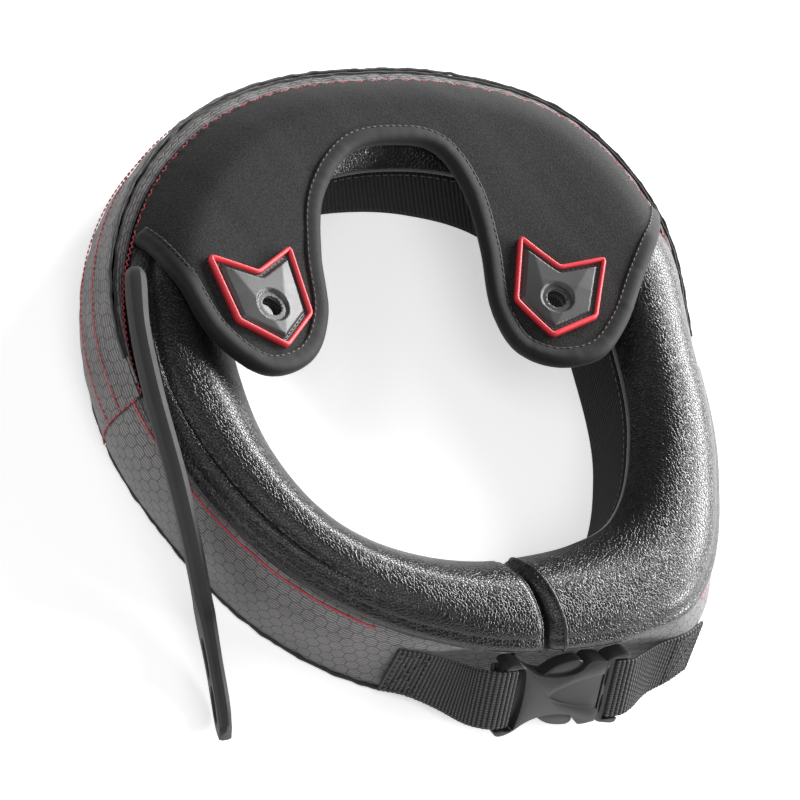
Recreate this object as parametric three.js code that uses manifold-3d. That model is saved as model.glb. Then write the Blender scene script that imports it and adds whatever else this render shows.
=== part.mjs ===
// Protective neck collar: a padded ring that opens and buckles at the front, with a neoprene flap
// sewn along the back edge and a rubber strap on the left. Millimetres, +Z up, the wearer faces -Y.
import * as THREE from 'three';
import { mergeVertices } from 'three/addons/utils/BufferGeometryUtils.js';
import Module from 'manifold-3d';

const wasm = await Module();
wasm.setup();
const { degToRad, euclideanModulo, clamp, lerp, smoothstep } = THREE.MathUtils;

// Driving sizes
const GAP = 0.3; // clearance between pieces that touch
const CLOTH = 2; // thickness of the side panels and the lining
const SKIN = CLOTH + 2 * GAP; // how far the foam stands back from the outside of a panel
const EDGE_HEIGHT = 34; // height of the stitched edge of the leather pad
const PAD_RISE = 11; // how far the pad bulges above that edge
const DOME_POWER = 2.2; // 2 is an ellipse, more is squarer
const GROOVE = { at: 0.8, half: 0.05, depth: 1.8 }; // crease between the rim roll and the pad
const BULGE_HEIGHT = 18; // height at which the outer wall is widest
const SHOULDER_DROP = 0.2; // fall of the back shoulder for each millimetre of its width
const SLIT = 0.6; // open pocket slit under the back shoulder
const LINING_FLARE = 3; // how much wider the neck opening is at the floor
const RING_STEPS = 60;

// Plan of the ring, clockwise from the back: radii of the pad's outer and inner edge, how far the outer
// wall stands outside that edge at its shoulder, widest height and foot, and the strength of the groove.
const RING = [
  { angle: 0, outer: 111, inner: 75, shoulder: 8, bulge: 8, foot: 2, groove: 0 },
  { angle: 20, outer: 117, inner: 78, shoulder: 8, bulge: 8, foot: 2, groove: 0 },
  { angle: 42, outer: 126, inner: 83, shoulder: 7, bulge: 7, foot: 2, groove: 0 },
  { angle: 62, outer: 121, inner: 80, shoulder: 6, bulge: 6, foot: 2, groove: 0 },
  { angle: 90, outer: 105, inner: 73, shoulder: 1.2, bulge: 4, foot: 1, groove: 0.2 },
  { angle: 118, outer: 110, inner: 76, shoulder: 1, bulge: 3, foot: 1, groove: 0.3 },
  { angle: 145, outer: 123, inner: 83, shoulder: 1, bulge: 8, foot: 8, groove: 0.2 },
  { angle: 158, outer: 118.5, inner: 81, shoulder: 1, bulge: -2, foot: 3, groove: 0.2 },
  { angle: 172, outer: 113, inner: 79, shoulder: 1, bulge: -6.5, foot: -1, groove: 0.2 },
  { angle: 186, outer: 110.5, inner: 79.2, shoulder: 1, bulge: -5.5, foot: 1, groove: 0.2 },
  { angle: 198, outer: 109, inner: 80, shoulder: 1, bulge: 2, foot: 5, groove: 0.3 },
  { angle: 222, outer: 109, inner: 82, shoulder: 1, bulge: 5, foot: 4, groove: 1 },
  { angle: 245, outer: 110, inner: 79, shoulder: 1, bulge: 4, foot: 1, groove: 1 },
  { angle: 265, outer: 113, inner: 76, shoulder: 1.2, bulge: 6.5, foot: 1, groove: 1 },
  { angle: 290, outer: 113, inner: 76, shoulder: 6, bulge: 9.5, foot: 2, groove: 0.6 },
  { angle: 325, outer: 112, inner: 75, shoulder: 8, bulge: 9, foot: 2, groove: 0 },
];

// The two ends of the ring nearly meet at the front. The last share of the ring, on the right, turns its outer
// edge on towards the left end.
const LEFT_END = { inner: 180.5, outer: 177 };
const RIGHT_END = { inner: 178.5 + 360, outer: 170 + 360 };
const RIGHT_TURN = { angle: 5.3, share: 0.08 };
const LEFT_SEAM = 264.7; // outer angle where the left front panel starts
const RIGHT_SEAM = 94.2 + 360; // outer angle where the right front panel starts

// Rows of the pad's section, from the inner edge at 0 to the outer edge at 1
const PAD_ROWS = [0, 0.04, 0.12, 0.27, 0.5, 0.66, 0.74, 0.8, 0.86, 0.93, 0.97, 1];

// Flap
const FLAP = { cloth: 3.4, binding: 6, bindingWidth: 6.5, bindingWall: 1, sag: 0.13, sagStart: 12 };
const FLAP_STEPS = { from: 8, to: 52 }; // the ring steps that lie under the flap
const FLAP_ROWS = [0.985, 0.97, 0.93, 0.86, 0.8, 0.66, 0.5, 0.27, 0]; // over the pad, as in PAD_ROWS
const FLAP_REACH = [0.2, 0.45, 0.8]; // over the neck opening, as shares of the way to FOCUS
const FOCUS = new THREE.Vector2(-8, -45); // point in the neck opening that the flap's rows run towards
const FLAP_EDGE = [ // free edge in plan, from the left corner round both tabs to the right corner
  [-115, 67], [-102.8, 46.4], [-96.9, 26.7], [-88.6, 2.4], [-72, -11], [-53, -5.5], [-42, 11], [-38.5, 35],
  [-32, 57], [-16, 74.5], [1.5, 77.8], [17, 75], [25, 60], [26.5, 38], [25, 14], [30, -2.5], [43, -11],
  [59, -10], [72, 1], [85, 19.5], [98, 37], [116, 60],
];
const FLAP_EDGE_POINTS = 54;
const FAR = 260; // well outside the collar

// Shields on the flap's tabs
const SHIELD = { tips: [16.8, 22], notch: 13.9, sides: [15.4, -4.3], point: -15.8 };
const SHIELD_RIM = { width: 2.2, height: 3 };
const SHIELD_PLATE = { height: 2.4, recess: 1, recessRadius: 6.2, holeRadius: 3.7 };
const SHIELDS = [
  { side: 'left', x: -65.5, y: 13.2, turn: 7.6 },
  { side: 'right', x: 48.6, y: 13.9, turn: -21.4 },
];

// Rubber strap: centre line, with its size across, its height and its outward lean
const STRAP_STEPS = 36;
const STRAP = [
  { x: -108.2, y: 31.5, z: 44.2, across: 4, tall: 4, lean: 20 },
  { x: -108.9, y: 28.5, z: 44.3, across: 6.6, tall: 7.5, lean: 20 },
  { x: -112.2, y: 9, z: 44.5, across: 6.6, tall: 7.5, lean: 20 },
  { x: -112.9, y: -14, z: 43.5, across: 6.6, tall: 7.5, lean: 20 },
  { x: -110, y: -42.5, z: 38.2, across: 6.4, tall: 7.5, lean: 20 },
  { x: -106.2, y: -62, z: 29, across: 6, tall: 8, lean: 20 },
  { x: -102.8, y: -77, z: 19.5, across: 5.6, tall: 9, lean: 20 },
  { x: -101.6, y: -84, z: 15.5, across: 5, tall: 17, lean: 20 },
  { x: -101, y: -97, z: 12, across: 4.5, tall: 20, lean: 20 },
  { x: -102.3, y: -116, z: 11, across: 4.5, tall: 20, lean: 20 },
  { x: -102.8, y: -121.2, z: 11, across: 4, tall: 12, lean: 20 },
];
const STRAP_CHAMFER = 0.24; // share of the smaller side that the corners lose
const STRAP_SLOT = { y: -95.5, z: 12.4, length: 14, width: 8 };
const STRAP_HOLE = { y: -111, z: 11.3, radius: 6.4 };

// Buckle and webbing at the front. The buckle leans back over the front wall. Its outlines are drawn on its
// face, as [along the webbing, across it] from its middle.
const AXIS = new THREE.Vector3(1, 0, 0); // the way the webbing runs through the buckle
const BUCKLE = { x: 17.4, y: -120.9, z: 18, lean: 35 };
const WEB = { width: 22, thick: 1.6 };
const SOCKET = { start: -24, thick: 8, barThick: 3.4, bevel: 1 };
const SOCKET_SIDE = [
  [-24, 12.1], [-22.5, 13.6], [-16.8, 13.4], [-12.8, 10.8], [-7, 8], [7, 7.6], [9.5, 12], [15.5, 11.6],
];
const WEB_SLOT = { bar: 4, open: 3.2, half: WEB.width / 2 + 1.2 };
const PLUG = { end: 25, thick: 6.6, bevel: 1, armThick: 4.4 };
const PLUG_SIDE = [[15.8, 12.6], [23.5, 13.6], [25, 12.1]];
const ARM = [ // half of the plug's arms, with the way each corner moves to make the socket's channel
  { x: 16.8, y: 3.6, growX: 0, growY: -1 },
  { x: 16.8, y: 8, growX: 0, growY: 1 },
  { x: 7, y: 8, growX: 1, growY: 1 },
  { x: 6, y: 12.2, growX: 0, growY: 0 },
  { x: -3, y: 11.6, growX: 0, growY: 0 },
  { x: -7, y: 7.4, growX: -1, growY: 0 },
  { x: -7, y: 3.6, growX: -1, growY: -1 },
];

// Colours, roughness and metalness
const paint = (color, roughness, metalness = 0) => new THREE.MeshStandardMaterial({ color, roughness, metalness });
const LEATHER = paint(0x1b1b1c, 0.4);
const FABRIC = paint(0x5d5b5b, 0.85);
const LINING = paint(0x202021, 0.9);
const NEOPRENE = paint(0x343436, 0.95);
const BINDING = paint(0x2c2c2e, 0.85);
const RED_RUBBER = paint(0xe0474f, 0.5);
const DARK_RUBBER = paint(0x3a3b3d, 0.55);
const STRAP_RUBBER = paint(0x424345, 0.6);
const WEBBING = paint(0x262627, 0.9);
const PLASTIC = paint(0x4c4d50, 0.4);

// Plan of the ring

// Value of one column of RING at an angle, by a smooth curve through the rows on either side
function ringValue(column, angle) {
  const turn = euclideanModulo(angle, 360);
  const index = RING.findLastIndex((row) => row.angle <= turn);
  const rowAt = (k) => {
    const row = RING[euclideanModulo(k, RING.length)];
    return { angle: row.angle + 360 * Math.floor(k / RING.length), value: row[column] };
  };
  const [before, low, high, after] = [-1, 0, 1, 2].map((step) => rowAt(index + step));
  const span = high.angle - low.angle;
  const lowSlope = ((high.value - before.value) / (high.angle - before.angle)) * span;
  const highSlope = ((after.value - low.value) / (after.angle - low.angle)) * span;
  const t = (turn - low.angle) / span;
  const blend = t * t * (3 - 2 * t);
  const bend = t * (1 - t) * ((1 - t) * lowSlope - t * highSlope);
  return lerp(low.value, high.value, blend) + bend;
}

function planPoint(column, angle) {
  const radius = ringValue(column, angle);
  return new THREE.Vector2(Math.sin(degToRad(angle)), Math.cos(degToRad(angle))).multiplyScalar(radius);
}

// Share of the way round from the left end (0) to the right end (1), for an angle on the outer edge
const shareAt = (outerAngle) => (outerAngle - LEFT_END.outer) / (RIGHT_END.outer - LEFT_END.outer);

// One place on the ring: its section runs from the pad's inner edge outwards along `across`, and over the
// neck opening along `inward`, for distances below zero
function station(share) {
  const turned = RIGHT_TURN.angle * smoothstep(share, 1 - RIGHT_TURN.share, 1);
  const outerAngle = lerp(LEFT_END.outer, RIGHT_END.outer, share) + turned;
  const inner = planPoint('inner', lerp(LEFT_END.inner, RIGHT_END.inner, share));
  const across = planPoint('outer', outerAngle).sub(inner);
  const width = across.length();
  const shoulder = ringValue('shoulder', outerAngle);
  const inward = FOCUS.clone().sub(inner);
  return {
    inner,
    width,
    reach: inward.length(),
    inward: inward.normalize(),
    shoulder,
    across: across.normalize(),
    shoulderHeight: EDGE_HEIGHT - 3 * GAP - SHOULDER_DROP * shoulder,
    bulge: ringValue('bulge', outerAngle),
    foot: ringValue('foot', outerAngle),
    groove: ringValue('groove', outerAngle),
  };
}

// Height of the pad above its edge, without the groove
function domeHeight(row) {
  const t = Math.abs(row - 0.5) / 0.5;
  return PAD_RISE * Math.max(0, 1 - t ** DOME_POWER) ** (1 / DOME_POWER);
}

// Meshes

function geometryFrom(positions, indices) {
  const geometry = new THREE.BufferGeometry();
  geometry.setAttribute('position', new THREE.Float32BufferAttribute(positions, 3));
  geometry.setIndex(indices);
  return geometry;
}

// Closed skin over a row of sections with equal numbers of points, each { flat, points }
function loft(sections) {
  const count = sections[0].points.length;
  const all = sections.flatMap((section) => section.points);
  const indices = [];
  for (let i = 0; i + 1 < sections.length; i += 1) {
    for (let j = 0; j < count; j += 1) {
      const a = i * count + j;
      const b = i * count + ((j + 1) % count);
      const [c, d] = [b + count, a + count];
      const shorter = all[a].distanceTo(all[c]) < all[b].distanceTo(all[d]);
      indices.push(...(shorter ? [a, b, c, a, c, d] : [a, b, d, b, c, d]));
    }
  }
  const capAt = (section, first, flip) => {
    THREE.ShapeUtils.triangulateShape(section.flat, []).forEach(([a, b, c]) => {
      indices.push(...(flip ? [c, b, a] : [a, b, c]).map((k) => k + first));
    });
  };
  capAt(sections[0], 0, true);
  capAt(sections.at(-1), (sections.length - 1) * count, false);
  return geometryFrom(all.flatMap((point) => point.toArray()), indices);
}

// Both ends of a run and the whole ring steps between them, so that neighbouring pieces bend together
function sharesBetween(from, to) {
  const near = 0.2;
  const shares = [from];
  for (let i = Math.ceil(from * RING_STEPS + near); i < to * RING_STEPS - near; i += 1) shares.push(i / RING_STEPS);
  return [...shares, to];
}

// Sweep of a section round the ring; sectionAt gives [distance across, height] pairs, anticlockwise
// as seen looking back along the ring from its right end
function sweep(sectionAt, from, to) {
  const sections = [];
  for (const share of sharesBetween(from, to)) {
    const place = station(share);
    const pairs = sectionAt(place);
    sections.push({
      flat: pairs.map(([distance, height]) => new THREE.Vector2(distance, height)),
      points: pairs.map(([distance, height]) => {
        const way = distance < 0 ? place.inward.clone().negate() : place.across;
        const plan = place.inner.clone().addScaledVector(way, distance);
        return new THREE.Vector3(plan.x, plan.y, height);
      }),
    });
  }
  return loft(sections);
}

function toSolid(geometry) {
  const bare = geometry.clone();
  bare.deleteAttribute('normal');
  bare.deleteAttribute('uv');
  const welded = mergeVertices(bare, 1e-4);
  const vertProperties = new Float32Array(welded.attributes.position.array);
  const triVerts = new Uint32Array(welded.index.array);
  return new wasm.Manifold(new wasm.Mesh({ numProp: 3, vertProperties, triVerts }));
}

function fromSolid(solid) {
  const { vertProperties, triVerts } = solid.getMesh();
  return geometryFrom(Array.from(vertProperties), Array.from(triVerts));
}

function piece(name, geometry, material) {
  geometry.computeVertexNormals();
  const mesh = new THREE.Mesh(geometry, material);
  mesh.name = name;
  return mesh;
}

function prism(points, low, high) {
  const geometry = new THREE.ExtrudeGeometry(new THREE.Shape(points), { depth: high - low, bevelEnabled: false });
  return geometry.translate(0, 0, low);
}

// Padded ring, panels and lining

function padSection({ width, shoulder, shoulderHeight, bulge, foot, groove }) {
  const dome = PAD_ROWS.map((row) => {
    const crease = Math.exp(-(((row - GROOVE.at) / GROOVE.half) ** 2));
    return [row * width, EDGE_HEIGHT + domeHeight(row) - GROOVE.depth * groove * crease];
  });
  const underBand = clamp((shoulder - 1) / (SKIN - 1), 0, 1);
  return [
    [SKIN + LINING_FLARE, 0],
    [width + foot - SKIN, 0],
    [width + bulge - SKIN, BULGE_HEIGHT],
    [width + shoulder - SKIN, shoulderHeight - 2 * GAP - underBand * SKIN / 2],
    [width + Math.min(0, shoulder - SKIN), EDGE_HEIGHT - GAP - underBand * SKIN],
    ...dome.reverse(),
    [SKIN, EDGE_HEIGHT - GAP],
  ];
}

const panelSection = ({ width, shoulder, shoulderHeight, bulge, foot }) => [
  [width + foot - CLOTH, 0],
  [width + foot, 0],
  [width + bulge, BULGE_HEIGHT],
  [width + shoulder, shoulderHeight],
  [width + shoulder - CLOTH, shoulderHeight],
  [width + bulge - CLOTH, BULGE_HEIGHT],
];

const bandSection = ({ width, shoulder, shoulderHeight }) => [
  [width + GAP, shoulderHeight + SLIT],
  [width + shoulder + GAP, shoulderHeight + SLIT],
  [width + shoulder + GAP, shoulderHeight + SLIT + CLOTH],
  [width + shoulder / 2 + GAP, shoulderHeight + SLIT + CLOTH + GAP],
  [width + GAP, shoulderHeight + SLIT + CLOTH],
];

const liningSection = () => [
  [LINING_FLARE, 0],
  [LINING_FLARE + CLOTH, 0],
  [CLOTH, EDGE_HEIGHT - 2 * GAP],
  [0, EDGE_HEIGHT - 2 * GAP],
];

function ringPieces() {
  const seamHalf = 0.1 / 360;
  const left = shareAt(LEFT_SEAM);
  const right = shareAt(RIGHT_SEAM);
  const runs = {
    whole: [0, 1],
    leftFront: [0, left - seamHalf],
    back: [left + seamHalf, right - seamHalf],
    rightFront: [right + seamHalf, 1],
  };
  const along = (section, [from, to]) => sweep(section, from, to);
  return [
    piece('padded_ring', along(padSection, runs.whole), LEATHER),
    piece('neck_lining', along(liningSection, runs.whole), LINING),
    piece('front_panel_left', along(panelSection, runs.leftFront), FABRIC),
    piece('front_panel_right', along(panelSection, runs.rightFront), FABRIC),
    piece('side_panel_back', along(panelSection, runs.back), FABRIC),
    piece('upper_band_back', along(bandSection, runs.back), FABRIC),
  ];
}

// Flap, its binding and the shields: every piece is a layer above the pad, cut to its outline in plan

// Height of the middle of the flap over a point of the section
function flapHeight(distance, width) {
  const crown = 0.5 * width;
  const middle = EDGE_HEIGHT + GAP + FLAP.binding / 2;
  if (distance >= crown) return middle + domeHeight(distance / width);
  const beyond = crown - distance;
  return middle + PAD_RISE - (FLAP.sag * beyond ** 2) / (beyond + FLAP.sagStart);
}

// Layer that follows the flap, between two heights measured from the flap's middle. `beyond` holds
// rows past the flap's sewn edge, for a layer that only cuts.
function layer(low, high, beyond = []) {
  const sectionAt = ({ width, reach }) => {
    const overPad = [...beyond, ...FLAP_ROWS].map((row) => row * width);
    const rows = [...overPad, ...FLAP_REACH.map((share) => -share * reach)];
    const top = rows.map((distance) => [distance, flapHeight(distance, width) + high]);
    const under = rows.map((distance) => [distance, flapHeight(distance, width) + low]);
    return [...top, ...under.reverse()];
  };
  const { from, to } = FLAP_STEPS;
  return toSolid(sweep(sectionAt, from / RING_STEPS, to / RING_STEPS));
}

// Free edge of the flap moved into the flap by a distance
function flapEdge(inset) {
  const curve = new THREE.SplineCurve(FLAP_EDGE.map(([x, y]) => new THREE.Vector2(x, y)));
  const points = [];
  for (let i = 0; i <= FLAP_EDGE_POINTS; i += 1) {
    const along = curve.getTangentAt(i / FLAP_EDGE_POINTS);
    const point = curve.getPointAt(i / FLAP_EDGE_POINTS);
    points.push(point.add(new THREE.Vector2(-along.y, along.x).multiplyScalar(inset)));
  }
  return points;
}

function flapArea(inset) {
  const behind = [[FAR, 60], [FAR, FAR], [-FAR, FAR], [-FAR, 60]].map(([x, y]) => new THREE.Vector2(x, y));
  return toSolid(prism([...flapEdge(inset), ...behind], -1, 2 * FAR));
}

function bindingArea() {
  return toSolid(prism([...flapEdge(0), ...flapEdge(FLAP.bindingWidth).reverse()], -1, 2 * FAR));
}

// Outline of a shield, moved inwards by a distance, in plan
function shieldOutline({ x, y, turn }, inset) {
  const { tips, notch, sides, point } = SHIELD;
  const corners = [[0, point], [sides[0], sides[1]], tips, [0, notch], [-tips[0], tips[1]], [-sides[0], sides[1]]];
  const points = corners.map(([u, v]) => new THREE.Vector2(u, v));
  const moved = points.map((corner, i) => {
    const before = corner.clone().sub(points.at(i - 1)).normalize();
    const after = points[(i + 1) % points.length].clone().sub(corner).normalize();
    const normals = [before, after].map((edge) => new THREE.Vector2(-edge.y, edge.x));
    const mitre = normals[0].clone().add(normals[1]).normalize();
    return corner.clone().addScaledVector(mitre, inset / mitre.dot(normals[0]));
  });
  const centre = new THREE.Vector2(x, y);
  return moved.map((corner) => corner.rotateAround(new THREE.Vector2(), degToRad(turn)).add(centre));
}

function disc({ x, y }, radius) {
  const geometry = new THREE.CylinderGeometry(radius, radius, 2 * FAR, 24);
  return toSolid(geometry.rotateX(Math.PI / 2).translate(x, y, 0));
}

function flapPieces() {
  const half = FLAP.cloth / 2;
  const hem = FLAP.binding / 2;
  const holes = SHIELDS.map((shield) => disc(shield, SHIELD_PLATE.holeRadius));
  const cloth = holes.reduce(
    (solid, hole) => solid.subtract(hole),
    layer(-half, half).intersect(flapArea(FLAP.bindingWall + GAP)),
  );
  const fold = layer(-half - GAP, half + GAP, [1]).intersect(flapArea(FLAP.bindingWall));
  const binding = layer(-hem, hem).intersect(bindingArea()).subtract(fold);

  const seat = half + GAP;
  const shields = SHIELDS.flatMap((shield, i) => {
    const outline = (inset) => toSolid(prism(shieldOutline(shield, inset), -1, 2 * FAR));
    const { width, height } = SHIELD_RIM;
    const rim = layer(seat, seat + height).intersect(outline(0)).subtract(outline(width));
    const recess = disc(shield, SHIELD_PLATE.recessRadius)
      .intersect(layer(seat + SHIELD_PLATE.height - SHIELD_PLATE.recess, seat + 2 * height));
    const plate = layer(seat, seat + SHIELD_PLATE.height)
      .intersect(outline(width + GAP))
      .subtract(recess)
      .subtract(holes[i]);
    return [
      piece(`shield_rim_${shield.side}`, fromSolid(rim), RED_RUBBER),
      piece(`shield_plate_${shield.side}`, fromSolid(plate), DARK_RUBBER),
    ];
  });
  return [
    piece('neoprene_flap', fromSolid(cloth), NEOPRENE),
    piece('flap_binding', fromSolid(binding), BINDING),
    ...shields,
  ];
}

// Rubber strap

// Corners of a strap section, as a rectangle with cut corners
function strapCorners(across, tall) {
  const cut = STRAP_CHAMFER * Math.min(across, tall);
  const [u, v] = [across / 2, tall / 2];
  return [
    [u - cut, -v], [u, cut - v], [u, v - cut], [u - cut, v],
    [cut - u, v], [-u, v - cut], [-u, cut - v], [cut - u, -v],
  ].map(([x, y]) => new THREE.Vector2(x, y));
}

// Frame of the strap: inwards (across) and up (tall), for a direction and an outward lean of its top
function strapFrame(along, lean) {
  const level = new THREE.Vector3(-along.y, along.x, 0).normalize();
  const up = new THREE.Vector3().crossVectors(along, level).normalize();
  const turn = degToRad(lean);
  const across = level.clone().multiplyScalar(Math.cos(turn)).addScaledVector(up, Math.sin(turn));
  const tall = up.clone().multiplyScalar(Math.cos(turn)).addScaledVector(level, -Math.sin(turn));
  return { across, tall };
}

function strapPiece() {
  const curve = new THREE.CatmullRomCurve3(STRAP.map(({ x, y, z }) => new THREE.Vector3(x, y, z)));
  const sections = [];
  for (let i = 0; i <= STRAP_STEPS; i += 1) {
    const t = i / STRAP_STEPS;
    const row = Math.min(Math.floor(t * (STRAP.length - 1)), STRAP.length - 2);
    const part = t * (STRAP.length - 1) - row;
    const size = (column) => lerp(STRAP[row][column], STRAP[row + 1][column], part);
    const { across, tall } = strapFrame(curve.getTangent(t), size('lean'));
    const flat = strapCorners(size('across'), size('tall'));
    const centre = curve.getPoint(t);
    const points = flat.map(({ x, y }) => centre.clone().addScaledVector(across, x).addScaledVector(tall, y));
    sections.push({ flat, points });
  }
  const [first, second, last] = STRAP.slice(-4);
  const along = new THREE.Vector3(last.x - first.x, last.y - first.y, last.z - first.z).normalize();
  const { across, tall } = strapFrame(along, last.lean);
  const turn = new THREE.Matrix4().makeBasis(tall, along, across);
  const depth = 2 * second.tall;
  const through = (shape, { y, z }) => {
    const cutter = new THREE.ExtrudeGeometry(shape, { depth, bevelEnabled: false, curveSegments: 10 });
    return toSolid(cutter.translate(0, 0, -depth / 2).applyMatrix4(turn).translate(second.x, y, z));
  };
  const hole = new THREE.Shape().absarc(0, 0, STRAP_HOLE.radius, 0, 2 * Math.PI);
  const round = STRAP_SLOT.width / 2;
  const straight = STRAP_SLOT.length / 2 - round;
  const slot = new THREE.Shape()
    .absarc(0, straight, round, 0, Math.PI)
    .absarc(0, -straight, round, Math.PI, 2 * Math.PI);
  const solid = toSolid(loft(sections)).subtract(through(hole, STRAP_HOLE)).subtract(through(slot, STRAP_SLOT));
  return piece('rubber_strap', fromSolid(solid), STRAP_RUBBER);
}

// Buckle and webbing

// Solid from an outline on the buckle's face, centred on its middle plane
function slab(points, thick, bevel = 0) {
  const shape = new THREE.Shape(points.map(([x, y]) => new THREE.Vector2(x, y)));
  const depth = thick - 2 * bevel;
  const options = { depth, bevelEnabled: bevel > 0, bevelThickness: bevel, bevelSize: bevel, bevelOffset: -bevel };
  return toSolid(new THREE.ExtrudeGeometry(shape, { ...options, bevelSegments: 2 }).translate(0, 0, -depth / 2));
}

// Outline made whole by its mirror image across the buckle's long axis
const mirrored = (side) => [...side.map(([x, y]) => [x, -y]), ...side.toReversed()];

const bar = (x0, x1, half) => [[x0, -half], [x1, -half], [x1, half], [x0, half]];

// The plug's two arms, grown by a clearance for the socket's channel
function arms(clear, thick) {
  const outline = ARM.map(({ x, y, growX, growY }) => [x + growX * clear, y + growY * clear]);
  const opposite = outline.map(([x, y]) => [x, -y]).reverse();
  return slab(outline, thick).add(slab(opposite, thick));
}

// Slot for the webbing between two places, and the thinning of the bar beside it
function webbingEnd(solid, slotFrom, barFrom, barTo) {
  const slot = slab(bar(slotFrom, slotFrom + WEB_SLOT.open, WEB_SLOT.half), 2 * SOCKET.thick);
  const shave = slab(bar(barFrom, barTo, WEB.width), SOCKET.thick);
  const lift = (SOCKET.barThick + SOCKET.thick) / 2;
  return solid.subtract(slot).subtract(shave.translate(0, 0, lift)).subtract(shave.translate(0, 0, -lift));
}

function bucklePieces() {
  const socketBar = SOCKET.start + WEB_SLOT.bar;
  const plugBar = PLUG.end - WEB_SLOT.bar;
  const body = slab(mirrored(SOCKET_SIDE), SOCKET.thick, SOCKET.bevel);
  const socket = webbingEnd(body, socketBar, SOCKET.start - 1, socketBar + WEB_SLOT.open)
    .subtract(arms(GAP, PLUG.armThick + 2 * GAP));
  const frame = slab(mirrored(PLUG_SIDE), PLUG.thick, PLUG.bevel).add(arms(0, PLUG.armThick));
  const plug = webbingEnd(frame, plugBar - WEB_SLOT.open, plugBar, PLUG.end + 1);
  return [
    piece('buckle_socket', fromSolid(socket), PLASTIC),
    piece('buckle_plug', fromSolid(plug), PLASTIC),
  ];
}

// Webbing strip along rows of { x, out, lean }: distance along the buckle's axis, backward lean, and distance
// out of the buckle's middle, square to the strip
function ribbon(name, rows) {
  const places = rows.map(({ x, out, lean }) => new THREE.Vector3(x, out, degToRad(lean)));
  const curve = new THREE.CatmullRomCurve3(places, false, 'centripetal');
  const flat = [[-1, -1], [1, -1], [1, 1], [-1, 1]].map(([u, v]) => new THREE.Vector2(u, v));
  const steps = 3 * (rows.length - 1);
  const sections = [];
  for (let i = 0; i <= steps; i += 1) {
    const { x, y: out, z: lean } = curve.getPoint(i / steps);
    const along = curve.getTangent(i / steps);
    const normal = new THREE.Vector2(along.y, -along.x).normalize().multiplyScalar(WEB.thick / 2);
    const points = flat.map(({ x: u, y: v }) => {
      const corner = new THREE.Vector3(x + normal.x * u, (v * WEB.width) / 2, out + normal.y * u);
      return corner.applyAxisAngle(AXIS, Math.PI / 2 - lean);
    });
    sections.push({ flat, points });
  }
  const strip = piece(name, loft(sections), WEBBING);
  strip.position.set(BUCKLE.x, BUCKLE.y, BUCKLE.z);
  return strip;
}

// Rows that lead to a bar whose outer corner lies at `edge` and go round it, on the side that `way` points to
function wrapRows(edge, way) {
  const over = SOCKET.barThick / 2 + 2 * GAP + WEB.thick / 2;
  const past = 2 * GAP + WEB.thick / 2;
  const half = [[-5.4, 0.96 * over], [-0.6, over], [0.68 * past, 0.84 * over], [past, 0.4 * over]];
  const whole = [[-10, 0.2 * over], ...half, ...half.map(([x, out]) => [x, -out]).reverse()];
  return whole.map(([x, out]) => ({ x: edge + way * x, out, lean: BUCKLE.lean }));
}

function webbingPieces() {
  const leftTail = [
    { x: -59, out: -14.6, lean: 12 },
    { x: -49, out: -11.6, lean: 14 },
    { x: -39, out: -6.8, lean: 22 },
  ];
  const rightTail = [
    { x: 64, out: -14.8, lean: 25 },
    { x: 53.5, out: -9.2, lean: 24 },
    { x: 41.5, out: -5.4, lean: 28 },
  ];
  return [
    ribbon('webbing_left', [...leftTail, ...wrapRows(SOCKET.start + WEB_SLOT.bar, 1)]),
    ribbon('webbing_right', [...rightTail, ...wrapRows(PLUG.end - WEB_SLOT.bar, -1)]),
  ];
}

function fastening() {
  const buckle = new THREE.Group();
  buckle.add(...bucklePieces());
  buckle.position.set(BUCKLE.x, BUCKLE.y, BUCKLE.z);
  buckle.setRotationFromAxisAngle(AXIS, degToRad(90 - BUCKLE.lean));
  return [buckle, ...webbingPieces()];
}

// Whole collar, standing on the floor with its box centred on the origin
const collar = new THREE.Group();
collar.add(...ringPieces(), ...flapPieces(), strapPiece(), ...fastening());
collar.updateMatrixWorld(true);
const box = new THREE.Box3().setFromObject(collar);
const middle = box.getCenter(new THREE.Vector3());
collar.position.set(-middle.x, -middle.y, -box.min.z);

export default collar;
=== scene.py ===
# %% [markdown]
# # A protective neck collar
# The collar is a foam ring with a black leather top, grey honeycomb cloth round its wall and a ribbed lining
# towards the neck. A neoprene flap is sewn along the back, a buckle closes the front, and a loose rubber
# strap lies on the left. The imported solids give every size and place. This script dresses them.

# %% Load the frame
import math

import bmesh
import bpy
import numpy as np
from mathutils import Matrix, Vector
from mathutils.bvhtree import BVHTree
from mathutils.geometry import delaunay_2d_cdt


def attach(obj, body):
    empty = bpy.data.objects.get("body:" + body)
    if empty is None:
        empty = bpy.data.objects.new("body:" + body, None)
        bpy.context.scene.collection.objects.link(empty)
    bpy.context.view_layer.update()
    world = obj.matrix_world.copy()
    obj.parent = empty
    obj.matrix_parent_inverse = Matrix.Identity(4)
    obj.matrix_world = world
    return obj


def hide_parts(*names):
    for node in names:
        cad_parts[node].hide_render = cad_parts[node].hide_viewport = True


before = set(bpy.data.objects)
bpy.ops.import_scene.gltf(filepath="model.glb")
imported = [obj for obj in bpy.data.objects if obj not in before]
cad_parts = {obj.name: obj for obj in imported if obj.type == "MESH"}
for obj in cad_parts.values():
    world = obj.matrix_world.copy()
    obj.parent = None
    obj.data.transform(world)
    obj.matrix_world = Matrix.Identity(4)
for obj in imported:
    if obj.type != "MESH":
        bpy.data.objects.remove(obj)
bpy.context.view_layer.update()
scene = bpy.context.scene

# %% [markdown]
# ## The ring in numbers
# Everything soft follows one ring, so the ring is described once: radii of the pad's outer and inner edge
# and the steps of the outer wall, clockwise from the back, in millimetres. A smooth curve through the rows
# gives any angle. `SHIFT` moves the drawing to the place where the solids stand.

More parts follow.
